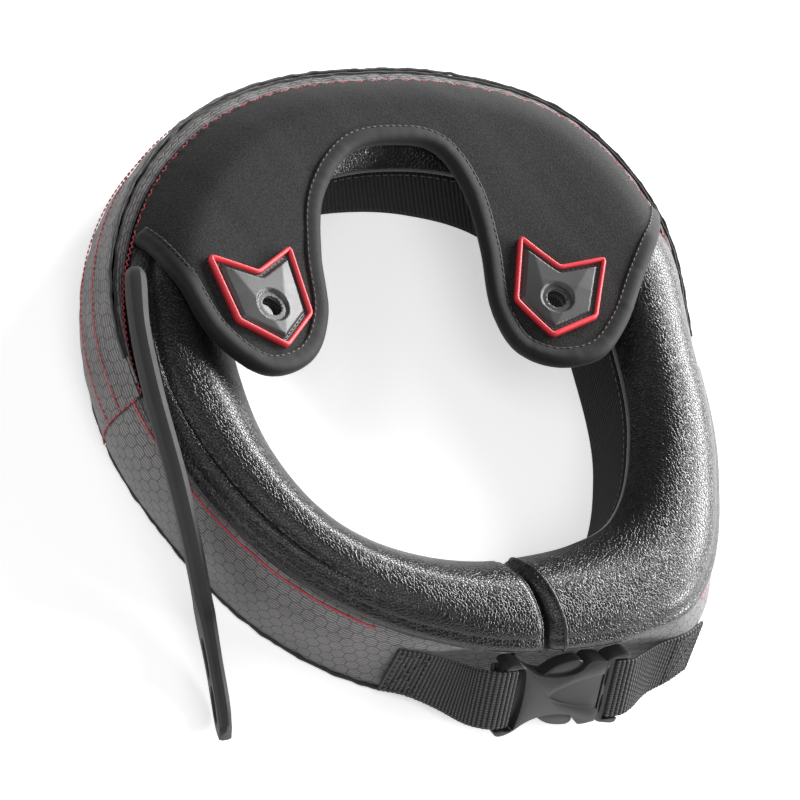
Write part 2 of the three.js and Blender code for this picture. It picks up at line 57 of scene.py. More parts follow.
# %% Sizes of the ring
SHIFT = np.array([3.34, 6.02, 0.0])
EDGE = 34.0
RISE = 11.0
DOME_POWER = 2.2
BULGE_HEIGHT = 18.0
COLUMNS = ("angle", "outer", "inner", "shoulder", "bulge", "foot", "groove")
RING = np.array([
    (0, 111, 75, 8, 8, 2, 0),
    (20, 117, 78, 8, 8, 2, 0),
    (42, 126, 83, 7, 7, 2, 0),
    (62, 121, 80, 6, 6, 2, 0),
    (90, 105, 73, 1.2, 4, 1, 0),
    (118, 110, 76, 1, 3, 1, 0),
    (145, 123, 83, 1, 8, 8, 0),
    (158, 118.5, 81, 1, -2, 3, 0),
    (172, 113, 79, 1, -6.5, -1, 0),
    (186, 110.5, 79.2, 1, -5.5, 1, 0),
    (198, 109, 80, 1, 2, 5, 0),
    (222, 109, 82, 1, 5, 4, 0.75),
    (245, 110, 79, 1, 4, 1, 1),
    (265, 113, 76, 1.2, 6.5, 1, 1),
    (290, 113, 76, 6, 9.5, 2, 0.6),
    (325, 112, 75, 8, 9, 2, 0),
])
LEFT_END = {"inner": 180.5, "outer": 177.0}
RIGHT_END = {"inner": 538.5, "outer": 530.0}
LEFT_SEAM = 264.7
RIGHT_SEAM = 454.2
FOCUS = np.array([-8.0, -45.0])
RING_LENGTH = 585.0
RIGHT_TURN, TURN_SHARE = 5.3, 0.08


def soft_step(value):
    t = np.clip(value, 0, 1)
    return t * t * (3 - 2 * t)


def ring_value(column, angle):
    """Smooth value of one column at each angle."""
    angles, values = RING[:, 0], RING[:, COLUMNS.index(column)]
    turn = np.mod(angle, 360.0)
    index = np.searchsorted(angles, turn, side="right") - 1
    count = len(RING)
    rows = [index + step for step in (-1, 0, 1, 2)]
    (a0, a1, a2, a3) = [angles[k % count] + 360.0 * (k // count) for k in rows]
    (v0, v1, v2, v3) = [values[k % count] for k in rows]
    span = a2 - a1
    slope1 = (v2 - v0) / (a2 - a0) * span
    slope2 = (v3 - v1) / (a3 - a1) * span
    t = (turn - a1) / span
    bend = t * (1 - t) * ((1 - t) * slope1 - t * slope2)
    return v1 + (v2 - v1) * t * t * (3 - 2 * t) + bend


def plan_point(column, angle):
    radius = ring_value(column, angle)
    return np.stack([np.sin(np.radians(angle)) * radius, np.cos(np.radians(angle)) * radius], -1)


def share_at(outer_angle):
    """Share of the way round, from the left end (0) to the right end (1)."""
    return (outer_angle - LEFT_END["outer"]) / (RIGHT_END["outer"] - LEFT_END["outer"])


def stations(shares):
    """Places on the ring: inner edge, unit way across the pad, and the sizes there."""
    shares = np.asarray(shares, float)
    outer_angle = LEFT_END["outer"] + (RIGHT_END["outer"] - LEFT_END["outer"]) * shares
    outer_angle = outer_angle + RIGHT_TURN * soft_step(1 - (1 - shares) / TURN_SHARE)
    inner_angle = LEFT_END["inner"] + (RIGHT_END["inner"] - LEFT_END["inner"]) * shares
    inner = plan_point("inner", inner_angle)
    across = plan_point("outer", outer_angle) - inner
    width = np.linalg.norm(across, axis=1)
    inward = FOCUS - inner
    place = {name: ring_value(name, outer_angle) for name in COLUMNS[3:]}
    place.update(inner=inner, width=width, across=across / width[:, None], angle=outer_angle)
    place["reach"] = np.linalg.norm(inward, axis=1)
    place["inward"] = inward / place["reach"][:, None]
    place["shoulder_height"] = EDGE - 0.9 - 0.2 * place["shoulder"]
    return place


def ring_points(place, distance, height):
    """Points at distances across the pad and heights, stations by rows; below zero runs to the focus."""
    way = np.where((distance < 0)[..., None], -place["inward"][:, None, :], place["across"][:, None, :])
    plan = place["inner"][:, None, :] + way * distance[..., None]
    return np.concatenate([plan, np.broadcast_to(height, distance.shape)[..., None]], -1)


sample = stations(np.array([0.0, 0.5, 1.0]))
print("pad width at the left end, back and right end", sample["width"].round(1))

# %% [markdown]
# ## Meshes from rows of points
# Most pieces are grids: rows of points that follow the ring or a path. A few helpers turn grids into meshes
# with a UV map in metres, so a weave keeps its true size wherever it lies.


# %% Mesh helpers
def to_metres(points):
    return (np.asarray(points, float) + SHIFT) / 1000.0


def make_piece(name, points, faces, finish, uv=None):
    mesh = bpy.data.meshes.new(name)
    mesh.from_pydata(to_metres(points).tolist(), [], faces)
    if uv is not None:
        corner = np.empty(len(mesh.loops), np.int32)
        mesh.loops.foreach_get("vertex_index", corner)
        layer = mesh.uv_layers.new(name="UVMap")
        layer.data.foreach_set("uv", np.asarray(uv, np.float32)[corner].ravel())
    mesh.polygons.foreach_set("use_smooth", [True] * len(mesh.polygons))
    mesh.materials.append(finish)
    mesh.update()
    piece = bpy.data.objects.new(name, mesh)
    scene.collection.objects.link(piece)
    return piece


def grid_faces(rows, columns, wrap=False):
    last = columns if wrap else columns - 1
    faces = []
    for i in range(rows - 1):
        for j in range(last):
            k = (j + 1) % columns
            faces.append((i * columns + j, i * columns + k, (i + 1) * columns + k, (i + 1) * columns + j))
    return faces


def tube_faces(rows, columns, flip=False):
    """Faces of a closed tube of rows, with a cap on each end."""
    faces = grid_faces(rows, columns, wrap=True)
    if flip:
        faces = [face[::-1] for face in faces]
    return faces + [tuple(range(columns)), tuple(range(rows * columns - 1, (rows - 1) * columns - 1, -1))]


def grid_uv(grid):
    """UV in metres: u runs along the rows' middle line, v up each row."""
    rows, columns = grid.shape[:2]
    middle = grid[:, columns // 2]
    u = np.concatenate([[0], np.cumsum(np.linalg.norm(np.diff(middle, axis=0), axis=1))])
    v = np.concatenate(
        [np.zeros((rows, 1)), np.cumsum(np.linalg.norm(np.diff(grid, axis=1), axis=2), axis=1)], 1)
    return np.stack([np.broadcast_to(u[:, None], v.shape), v], -1).reshape(-1, 2) / 1000.0


def modified(piece, kind, **settings):
    """Adds one modifier and makes its result the piece's own mesh."""
    modifier = piece.modifiers.new(kind.title(), kind)
    for key, value in settings.items():
        setattr(modifier, key, value)
    return applied(piece)


def applied(piece):
    bpy.context.view_layer.update()
    graph = bpy.context.evaluated_depsgraph_get()
    shaped = piece.evaluated_get(graph)
    mesh = bpy.data.meshes.new_from_object(shaped, preserve_all_data_layers=True, depsgraph=graph)
    piece.modifiers.clear()
    old = piece.data
    piece.data = mesh
    mesh.name = piece.name
    bpy.data.meshes.remove(old)
    return piece


def cloth_skin(name, grid, thick, finish):
    """Sheet of cloth through a grid of points, with its thickness on the inner side."""
    rows, columns = grid.shape[:2]
    piece = make_piece(name, grid.reshape(-1, 3), grid_faces(rows, columns), finish, grid_uv(grid))
    return modified(piece, "SOLIDIFY", thickness=thick / 1000.0, offset=-1.0)


def path_frames(path, up):
    """Unit tangents, sides and normals along a path, with the normals as near to `up` as they can be."""
    along = np.gradient(path, axis=0)
    along /= np.linalg.norm(along, axis=1)[:, None]
    side = np.cross(along, up)
    side /= np.linalg.norm(side, axis=1)[:, None]
    return along, side, np.cross(side, along)


def path_sweep(name, path, section, finish, up=(0, 0, 1), closed=False):
    """Sweep of a section ([side, up] pairs, or one section for each point) along a path."""
    path = np.asarray(path, float)
    up = np.broadcast_to(np.asarray(up, float), path.shape)
    _, side, normal = path_frames(path, up)
    section = np.broadcast_to(np.asarray(section, float), (len(path),) + np.shape(section)[-2:])
    grid = path[:, None] + side[:, None] * section[..., :1] + normal[:, None] * section[..., 1:]
    rows, columns = grid.shape[:2]
    if closed:
        last = (rows - 1) * columns
        faces = [face[::-1] for face in grid_faces(rows, columns, wrap=True)]
        faces += [(j, last + j, last + (j + 1) % columns, (j + 1) % columns)[::-1] for j in range(columns)]
    else:
        faces = tube_faces(rows, columns, flip=True)
    return make_piece(name, grid.reshape(-1, 3), faces, finish)


def ring_section(radius, sides=10, flat=1.0):
    turn = np.linspace(0, 2 * math.pi, sides, endpoint=False)
    return np.stack([radius * np.cos(turn), flat * radius * np.sin(turn)], -1)


def smooth_line(rows, steps, power=0.5):
    """Smooth curve through rows of numbers; only the first three columns set its pace."""
    rows = np.asarray(rows, float)
    gaps = np.linalg.norm(np.diff(rows[:, :3], axis=0), axis=1) ** power
    gaps = np.concatenate([gaps[:1], gaps, gaps[-1:]])
    ends = np.concatenate([[2 * rows[0] - rows[1]], rows, [2 * rows[-1] - rows[-2]]])
    line = []
    for i in range(len(rows) - 1):
        p0, p1, p2, p3 = ends[i:i + 4]
        d0, d1, d2 = gaps[i:i + 3]
        m1 = d1 * ((p1 - p0) / d0 - (p2 - p0) / (d0 + d1) + (p2 - p1) / d1)
        m2 = d1 * ((p2 - p1) / d1 - (p3 - p1) / (d1 + d2) + (p3 - p2) / d2)
        t = np.arange(steps)[:, None] / steps
        blend = t * t * (3 - 2 * t)
        line.append(p1 + (p2 - p1) * blend + t * (1 - t) * ((1 - t) * m1 - t * m2))
    return np.concatenate(line + [rows[-1:]])


def even_line(line, spacing):
    """The same line with points at an even spacing."""
    line = np.asarray(line, float)
    length = np.concatenate([[0], np.cumsum(np.linalg.norm(np.diff(line, axis=0), axis=1))])
    count = max(2, int(round(length[-1] / spacing)) + 1)
    at = np.linspace(0, length[-1], count)
    return np.stack([np.interp(at, length, column) for column in line.T], -1)


def ripple(seed, place, scale):
    """Smooth repeatable waviness from -1 to 1 along a length, from a few sines with fixed phases."""
    source = np.random.default_rng(seed)
    total = np.zeros_like(place, float)
    for octave in (1.0, 1.7, 2.9, 4.3):
        total += np.sin(place / scale * octave * 2 * math.pi + source.uniform(0, 6.28)) / octave
    return total / 2.2


def evened(piece, step, passes=60):
    """Evens out how far neighbouring points move, so that a skin swells without crumpling."""
    edges = np.array([edge.vertices[:] for edge in piece.data.edges])
    count = np.bincount(edges.ravel(), minlength=len(step))[:, None]
    for _ in range(passes):
        total = np.zeros_like(step)
        np.add.at(total, edges[:, 0], step[edges[:, 1]])
        np.add.at(total, edges[:, 1], step[edges[:, 0]])
        step = (step + total / count) / 2
    return step


def swollen(piece, held, pressure, most):
    """Swells a padded piece between its held points with a short cloth simulation, and keeps the result."""
    rest = np.array([point.co for point in piece.data.vertices])
    group = piece.vertex_groups.new(name="held")
    for index, weight in enumerate(held):
        group.add([index], float(weight), "REPLACE")
    cloth = piece.modifiers.new("Foam", "CLOTH")
    cloth.settings.vertex_group_mass = "held"
    cloth.settings.use_pressure = True
    cloth.settings.uniform_pressure_force = pressure
    cloth.settings.effector_weights.gravity = 0
    for number in range(1, 21):
        scene.frame_set(number)
    graph = bpy.context.evaluated_depsgraph_get()
    moved = np.array([point.co for point in piece.evaluated_get(graph).data.vertices])
    piece.modifiers.clear()
    piece.vertex_groups.clear()
    scene.frame_set(1)
    step = evened(piece, moved - rest)
    size = np.linalg.norm(step, axis=1)[:, None]
    step = step * np.minimum(1, most / 1000.0 / np.maximum(size, 1e-9))
    piece.data.vertices.foreach_set("co", (rest + step).ravel())
    piece.data.update()
    print(piece.name, "swelled by up to", round(float(size.max()) * 1000, 2), "mm, kept within", most)


def place_piece(piece, slot, *nodes):
    shell = bmesh.new()
    shell.from_mesh(piece.data)
    bmesh.ops.recalc_face_normals(shell, faces=shell.faces)
    shell.to_mesh(piece.data)
    shell.free()
    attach(piece, "root")
    if nodes:
        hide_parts(*nodes)
    print(piece.name, len(piece.data.polygons), "faces")
    return piece


# %% [markdown]
# ## Finishes
# Every finish starts from one Principled shader. Patterns come from noise, Voronoi cells and waves on Object
# coordinates, or on the UV map where they have to follow the cloth. Heights go through Bump nodes, so grain
# and weave catch the light.
# Several colours also darken creases, ribs, grooves and folds as painted shade.


# %% Finish helpers
class Finish:
    """A material with its node tree, and short ways to add nodes to it."""

    def __init__(self, name, color, roughness, **sockets):
        self.material = bpy.data.materials.new(name)
        self.material.use_nodes = True
        self.tree = self.material.node_tree
        self.shader = self.tree.nodes["Principled BSDF"]
        self.shader.inputs["Base Color"].default_value = (*color, 1)
        self.shader.inputs["Roughness"].default_value = roughness
        for key, value in sockets.items():
            self.shader.inputs[key.replace("_", " ")].default_value = value
        self.coordinates = self.tree.nodes.new("ShaderNodeTexCoord")
        self.height = None

    def node(self, kind, inputs=None, **settings):
        made = self.tree.nodes.new(kind)
        for key, value in settings.items():
            setattr(made, key, value)
        for key, value in (inputs or {}).items():
            if isinstance(value, bpy.types.NodeSocket):
                self.tree.links.new(value, made.inputs[key])
            else:
                made.inputs[key].default_value = value
        return made

    def math(self, operation, *values):
        return self.node("ShaderNodeMath", dict(enumerate(values)), operation=operation).outputs[0]

    def vector(self, operation, *values):
        return self.node("ShaderNodeVectorMath", dict(enumerate(values)), operation=operation).outputs

    def spread(self, value, low, high, to_low=0.0, to_high=1.0):
        inputs = {"Value": value, "From Min": low, "From Max": high, "To Min": to_low, "To Max": to_high}
        return self.node("ShaderNodeMapRange", inputs).outputs[0]

    def noise(self, place, scale, detail=2.0):
        inputs = {"Vector": place, "Scale": scale, "Detail": detail}
        return self.node("ShaderNodeTexNoise", inputs).outputs["Fac"]

    def tint(self, mask, first, second):
        mix = self.node("ShaderNodeMix", data_type="RGBA")
        self.tree.links.new(mask, mix.inputs[0])
        mix.inputs[6].default_value = (*first, 1)
        mix.inputs[7].default_value = (*second, 1)
        self.tree.links.new(mix.outputs[2], self.shader.inputs["Base Color"])

    def roughen(self, mask, low, high):
        self.tree.links.new(self.spread(mask, 0.0, 1.0, low, high), self.shader.inputs["Roughness"])

    def bump(self, height, millimetres, strength=1.0):
        inputs = {"Height": height, "Distance": millimetres / 1000.0, "Strength": strength}
        if self.height is not None:
            inputs["Normal"] = self.height
        self.height = self.node("ShaderNodeBump", inputs).outputs["Normal"]
        self.tree.links.new(self.height, self.shader.inputs["Normal"])


# %% Leather
leather = Finish("grained_leather", (0.0055, 0.0055, 0.0058), 0.36, Specular_IOR_Level=0.55)
spot = leather.coordinates.outputs["Object"]
bent = leather.node("ShaderNodeTexNoise", {"Vector": spot, "Scale": 500.0, "Detail": 1.0}).outputs["Color"]
bent = leather.vector("MULTIPLY_ADD", bent, (0.0006,) * 3, spot)[0]
PEBBLES = 950.0
pebble = leather.node("ShaderNodeTexVoronoi", {"Vector": bent, "Scale": PEBBLES}, feature="DISTANCE_TO_EDGE")
crease = leather.spread(pebble.outputs["Distance"], 0.0, 0.14)
middle = leather.node("ShaderNodeTexVoronoi", {"Vector": bent, "Scale": PEBBLES}).outputs["Distance"]
leather.bump(leather.noise(spot, 48.0, 2.0), 0.3, 0.12)
leather.bump(leather.math("SUBTRACT", 1.0, leather.math("MULTIPLY", middle, middle)), 0.1, 0.6)
leather.bump(crease, 0.07, 0.8)
# Painted shade: the tint darkens the grain's creases, from the same mask that cuts them into the bump.
leather.tint(crease, (0.002, 0.002, 0.002), (0.007, 0.007, 0.0073))
leather.roughen(leather.noise(spot, 160.0, 3.0), 0.24, 0.33)

# %% Honeycomb cloth
HEX = 0.0046


def honeycomb(finish, uv, size):
    """Distance from the nearest hexagon edge, from 0 at the middle to 0.5 at the edge."""
    cell = (1.0, math.sqrt(3.0), 1.0)
    half = (0.5, math.sqrt(3.0) / 2, 0.5)
    point = finish.vector("SCALE", uv)[0]
    point.node.inputs["Scale"].default_value = 1.0 / size
    first = finish.vector("SUBTRACT", finish.vector("WRAP", point, cell, (0.0, 0.0, 0.0))[0], half)[0]
    moved = finish.vector("SUBTRACT", point, half)[0]
    second = finish.vector("SUBTRACT", finish.vector("WRAP", moved, cell, (0.0, 0.0, 0.0))[0], half)[0]
    ends = []
    for choice in (first, second):
        flat = finish.vector("ABSOLUTE", finish.vector("MULTIPLY", choice, (1.0, 1.0, 0.0))[0])[0]
        slant = finish.vector("DOT_PRODUCT", flat, (0.5, math.sqrt(3.0) / 2, 0.0))[1]
        upright = finish.vector("DOT_PRODUCT", flat, (1.0, 0.0, 0.0))[1]
        ends.append(finish.math("MAXIMUM", slant, upright))
    return finish.math("MINIMUM", *ends)


def honeycomb_cloth(name, shade):
    cloth = Finish(name, shade, 0.62, Sheen_Weight=0.04)
    uv = cloth.coordinates.outputs["UV"]
    edge = cloth.spread(honeycomb(cloth, uv, HEX), 0.45, 0.49)
    thread = cloth.node("ShaderNodeTexWave", {"Vector": uv, "Scale": 330.0, "Distortion": 1.2, "Detail": 1.0,
                                              "Detail Scale": 3.0}, bands_direction="Y").outputs["Fac"]
    weft = cloth.node("ShaderNodeTexWave", {"Vector": uv, "Scale": 420.0}, bands_direction="X").outputs["Fac"]
    cloud = cloth.noise(uv, 60.0, 3.0)
    lit = tuple(channel * 1.8 for channel in shade)
    dark = tuple(channel * 0.16 for channel in shade)
    # The colour mixes random tone from the cloud noise with painted shade: the thread troughs and the hexagon
    # lines, which the bumps sink as grooves, are darkened.
    weave = cloth.math("MULTIPLY_ADD", thread, 0.7, cloth.math("MULTIPLY", cloud, 0.5))
    weave_tone_and_painted_shade = cloth.math("MULTIPLY", weave, cloth.spread(edge, 0.0, 1.0, 1.0, 0.35))
    cloth.tint(weave_tone_and_painted_shade, dark, lit)
    cloth.bump(cloth.math("ADD", thread, cloth.math("MULTIPLY", weft, 0.5)), 0.12, 0.5)
    cloth.bump(cloth.math("SUBTRACT", 1.0, edge), 0.22, 0.8)
    return cloth.material


ripstop = honeycomb_cloth("honeycomb_ripstop", (0.125, 0.121, 0.121))
# Darker copy of the same ripstop, as painted shade, for the outer pocket lip's fold.
ripstop_painted_shade = honeycomb_cloth("honeycomb_ripstop_painted_shade", (0.085, 0.083, 0.083))

# %% Lining, neoprene, binding and webbing
lining = Finish("ribbed_lining", (0.012, 0.012, 0.0125), 0.85, Specular_IOR_Level=0.2)
uv = lining.coordinates.outputs["UV"]
tilted = lining.node("ShaderNodeMapping", {"Vector": uv, "Rotation": (0, 0, 0.5)}).outputs[0]
rib = lining.node("ShaderNodeTexWave", {"Vector": tilted, "Scale": 210.0, "Distortion": 0.6}).outputs["Fac"]
# Painted shade: the tint follows the rib wave that also drives the bump, dark in the grooves and light on the
# ribs.
lining.tint(rib, (0.001, 0.001, 0.001), (0.018, 0.018, 0.0182))
lining.bump(rib, 0.6, 0.9)

neoprene = Finish("neoprene_knit", (0.022, 0.022, 0.022), 0.9, Specular_IOR_Level=0.3, Sheen_Weight=0.02)
spot = neoprene.coordinates.outputs["Object"]
knit = neoprene.node("ShaderNodeTexVoronoi", {"Vector": spot, "Scale": 1500.0}).outputs["Distance"]
speck = neoprene.spread(neoprene.noise(spot, 1500.0, 2.0), 0.35, 0.68)
neoprene.tint(neoprene.math("MULTIPLY_ADD", speck, 0.8, neoprene.math("MULTIPLY", knit, 0.4)),
              (0.0025, 0.0025, 0.0025), (0.023, 0.023, 0.023))
neoprene.bump(neoprene.noise(spot, 55.0, 2.0), 1.0, 0.12)
neoprene.bump(knit, 0.14, 0.6)

binding = Finish("binding_tape", (0.008, 0.008, 0.008), 0.7, Specular_IOR_Level=0.3, Sheen_Weight=0.04)
spot = binding.coordinates.outputs["Object"]
binding.bump(binding.noise(spot, 130.0, 3.0), 0.6, 0.25)
binding.bump(binding.noise(spot, 1600.0, 1.0), 0.1, 0.5)
binding.tint(binding.noise(spot, 1100.0, 2.0), (0.004, 0.004, 0.004), (0.013, 0.013, 0.013))

webbing = Finish("webbing_weave", (0.014, 0.014, 0.0145), 0.6, Specular_IOR_Level=0.35)
uv = webbing.coordinates.outputs["UV"]
RIB = 1.7
rib = webbing.node("ShaderNodeTexWave", {"Vector": uv, "Scale": 2 * math.pi / (20 * RIB / 1000)},
                   bands_direction="X").outputs["Fac"]
strand = webbing.node("ShaderNodeTexWave", {"Vector": uv, "Scale": 330.0, "Distortion": 0.6},
                      bands_direction="Y").outputs["Fac"]
# Painted shade: the tint follows the ribs shaped in the strip and the strands that the bump raises, dark in
# the grooves between them.
weave_tone_and_painted_shade = webbing.math("MULTIPLY", rib, webbing.spread(strand, 0.0, 1.0, 0.35, 1.0))
webbing.tint(weave_tone_and_painted_shade, (0.001, 0.001, 0.001), (0.085, 0.083, 0.083))
webbing.bump(strand, 0.15, 0.6)


# %% Rubber, plastic and thread
def moulded(name, color, roughness, grain, **sockets):
    made = Finish(name, color, roughness, **sockets)
    spot = made.coordinates.outputs["Object"]
    made.bump(made.noise(spot, grain, 3.0), 0.05, 0.5)
    made.roughen(made.noise(spot, 140.0, 4.0), roughness - 0.07, roughness + 0.09)
    shade = tuple(0.86 * channel for channel in color)
    made.tint(made.noise(spot, 70.0, 3.0), shade, tuple(1.14 * channel for channel in color))
    return made.material


red_rubber = moulded("red_rubber", (0.72, 0.045, 0.06), 0.42, 1400.0)
plate_rubber = moulded("plate_rubber", (0.035, 0.035, 0.035), 0.42, 1600.0)
strap_rubber = moulded("strap_rubber", (0.03, 0.03, 0.03), 0.62, 1500.0, Specular_IOR_Level=0.3)
plastic = moulded("satin_plastic", (0.026, 0.0255, 0.0255), 0.34, 1900.0)
red_thread = moulded("red_thread", (0.5, 0.03, 0.05), 0.6, 2600.0, Sheen_Weight=0.3)
dark_thread = moulded("dark_thread", (0.03, 0.03, 0.03), 0.5, 2600.0, Sheen_Weight=0.3)
black_thread = moulded("black_thread", (0.008, 0.008, 0.0085), 0.7, 2600.0, Sheen_Weight=0.3)
print("finishes", len(bpy.data.materials))

# %% [markdown]
# ## The leather pad
# The real pad is a block of foam with leather pulled over it, stitched down at the outer and inner edges. The
# skin here is the whole closed section, swept round the ring, with its two ends drawn in and closed. A cloth
# simulation then inflates the top a little between its seams, as the foam does, so the leather swells by
# itself instead of staying a drawn curve.

# %% Pad skin
PAD_ROWS = 260
TOP_COLUMNS = 60
SIDE_STEPS = 5
SKIN = 2.6
FLARE = 3.0
LINING_TOP = 31.5
GROOVE_AT = 0.8
GROOVE_HALF = 0.05
GROOVE_DEPTH = 2.3
CREST = 0.5
INNER_POWER = 1.9
INNER_EDGE = 0.5
SEWN_POWER = 1.5
SEWN_DROP = 10.6
SEWN_ROW = 0.985
ROLL = np.array([(-0.1, 3.7), (1.0, 2.7), (1.6, 1.3), (1.6, 0.2), (1.1, -0.45), (-1.5, -0.35)])
HELD = np.array([(-0.5, -0.2), (-0.4, -0.5), (-0.3, -0.8), (-0.2, -1.1), (-0.1, -1.3), (0, -1.5)])


def under_flap(place):
    """1 where the flap is sewn on, 0 in front of it, with a soft change."""
    return 1 - soft_step((np.abs(place["angle"] - 359.0) - 62.0) / 12.0)


def at_front(place):
    """1 along the two front panels, 0 along the back panel."""
    return soft_step((np.abs(place["angle"] - (LEFT_SEAM + RIGHT_SEAM) / 2) - 93.0) / 4.0)


def sewn_drop(rows):
    """How far down a skin has come at a row, from 0 on the crest to 1 at the back seam."""
    return np.clip((rows - 0.5) / (SEWN_ROW - 0.5), 0, 1.05) ** SEWN_POWER


def dome_top(place, rows):
    """Heights of the leather's top: a dome with a groove near its outer edge, lower along the back seam."""
    inner = RISE - (RISE - INNER_EDGE) * np.clip(1 - rows / CREST, 0, 1) ** INNER_POWER
    outer = RISE * (1 - np.clip((rows - CREST) / (1 - CREST), 0, 1) ** DOME_POWER) ** (1 / DOME_POWER)
    free = np.where(rows < CREST, inner, outer)
    sewn = np.where(rows < 0.5, inner, RISE - SEWN_DROP * sewn_drop(rows))
    top = free + (np.minimum(sewn, free) - free) * under_flap(place)[:, None]
    dip = GROOVE_DEPTH * place["groove"][:, None] * np.exp(-np.abs(rows - GROOVE_AT) / GROOVE_HALF)
    return EDGE + top - dip


def pad_sections(place):
    """Distances and heights of the whole closed section of the pad at each station."""
    width = place["width"][:, None]
    steps = np.linspace(0, 1, SIDE_STEPS)
    behind = np.broadcast_to(SKIN + FLARE * (1 - steps), (len(width), SIDE_STEPS))
    lip = np.broadcast_to(0.9 * (1 - steps) ** 2, (len(width), SIDE_STEPS))
    rise = np.sin(np.linspace(0, 1, TOP_COLUMNS) * math.pi - math.pi / 2) / 2 + 0.5
    top_rows = np.broadcast_to(0.012 + 0.958 * rise, (len(place["width"]), TOP_COLUMNS))
    columns = [behind, lip[:, :-1]]
    heights = [np.broadcast_to(0.4 + (LINING_TOP - 0.8) * steps, behind.shape)]
    lip_rise = EDGE + INNER_EDGE - 0.3 - LINING_TOP
    heights += [np.broadcast_to(LINING_TOP + lip_rise * steps, lip.shape)[:, :-1]]
    columns += [top_rows * width]
    heights += [dome_top(place, top_rows)]
    edge = HELD + (ROLL - HELD) * at_front(place)[:, None, None]
    columns += [width + edge[..., 0]]
    heights += [EDGE + edge[..., 1]]
    wall = np.linspace(0, 1, SIDE_STEPS)[None, 1:]
    shoulder = width + place["shoulder"][:, None] - SKIN
    bulge = width + place["bulge"][:, None] - SKIN
    foot = width + place["foot"][:, None] - SKIN
    low = place["shoulder_height"][:, None] - 0.5
    columns += [shoulder + (bulge - shoulder) * wall, bulge + (foot - bulge) * wall]
    upper = low + (BULGE_HEIGHT - low) * wall
    lower = np.broadcast_to(BULGE_HEIGHT + (0.4 - BULGE_HEIGHT) * wall, upper.shape)
    heights += [upper, lower]
    return np.concatenate(columns, 1), np.concatenate(heights, 1)


END_STEPS = np.array([0, 0.25, 0.6, 1.1, 1.8, 2.8, 4.2, 5.6, 7.2]) / RING_LENGTH
EVEN_FROM = 9.0 / RING_LENGTH
END_ROUND = {"left": 2.4, "right": 5.0}
END_TUCK = {"left": 0.055, "right": 0.13}
even = np.linspace(EVEN_FROM, 1 - EVEN_FROM, PAD_ROWS - 2 * len(END_STEPS))
pad_shares = np.concatenate([END_STEPS, even, 1 - END_STEPS[::-1]])
pad_place = stations(pad_shares)
distance, height = pad_sections(pad_place)
ends = np.minimum(pad_shares, 1 - pad_shares) * RING_LENGTH
on_right = pad_shares > 0.5
inside = np.clip(ends / np.where(on_right, END_ROUND["right"], END_ROUND["left"]), 0, 1)
tuck = np.where(on_right, END_TUCK["right"], END_TUCK["left"]) * (1 - np.sqrt(1 - (1 - inside) ** 2))
middle = pad_place["width"][:, None] / 2
distance = distance + (middle - distance) * tuck[:, None]
height = height + (EDGE / 2 - height) * tuck[:, None]
pad_grid = ring_points(pad_place, distance, height)
rows, columns = pad_grid.shape[:2]
faces = tube_faces(rows, columns, flip=True)
pad = make_piece("leather_pad", pad_grid.reshape(-1, 3), faces, leather.material)
TOP_FIRST = 2 * SIDE_STEPS - 1
free = np.zeros((rows, columns))
top = slice(TOP_FIRST, TOP_FIRST + TOP_COLUMNS)
free[:, top] = np.sin(np.linspace(0, 1, TOP_COLUMNS) * math.pi) ** 0.5
free[:, top] *= 1 - under_flap(pad_place)[:, None]
HELD_END = 25.0
FOAM_PRESSURE, MOST_SWELL = 3.0, 1.6
free = free * np.clip(ends / HELD_END, 0, 1)[:, None]
swollen(pad, 1 - 0.9 * free.ravel(), FOAM_PRESSURE, MOST_SWELL)
place_piece(pad, "leather", "padded_ring")

# %% Welts where the pad's ends are closed
for side, row, thick, beyond in (("left", 1, 0.5, 0.2), ("right", -7, 0.8, 0.0)):
    rim = pad_grid[row, TOP_FIRST - 4:TOP_FIRST + TOP_COLUMNS + 4]
    out = pad_grid[0 if row > 0 else -1].mean(0) - pad_grid[12 if row > 0 else -13].mean(0)
    rim = rim + beyond * out / np.linalg.norm(out) - (0, 0, 0.6 * thick)
    rim = even_line(smooth_line(even_line(rim, 3.0), 4), 0.8)
    welt = path_sweep(f"pad_end_welt_{side}", rim, ring_section(thick, 12), leather.material, (0.3, 1.0, 0.2))
    place_piece(welt, "leather")

# %% [markdown]
# ## The wall of the ring
# Two front panels, a back panel and a narrow gathered strip clothe the outer wall, and the ribbed lining the
# neck side. They are sheets pulled over the foam, so they follow its wall with a little pucker at the seams.

# %% Lining and outer panels
WALL_COLUMNS = 14
SLIT_TURN = 0.25
WALL_FOOT = 0.9


def wall_reach(place, height):
    """Distance of the outer wall beyond the pad's edge: foot, bulge and shoulder joined by a smooth curve."""
    foot, bulge, shoulder = (place[name][:, None] for name in ("foot", "bulge", "shoulder"))
    high = place["shoulder_height"][:, None]
    below = np.clip((height - WALL_FOOT) / (BULGE_HEIGHT - WALL_FOOT), 0, 1)
    above = np.clip((height - BULGE_HEIGHT) / (high - BULGE_HEIGHT), 0, 1)
    lower = foot + (bulge - foot) * np.sin(below * math.pi / 2)
    upper = shoulder + (bulge - shoulder) * np.cos(above * math.pi / 2)
    return np.where(height > BULGE_HEIGHT, upper, lower)


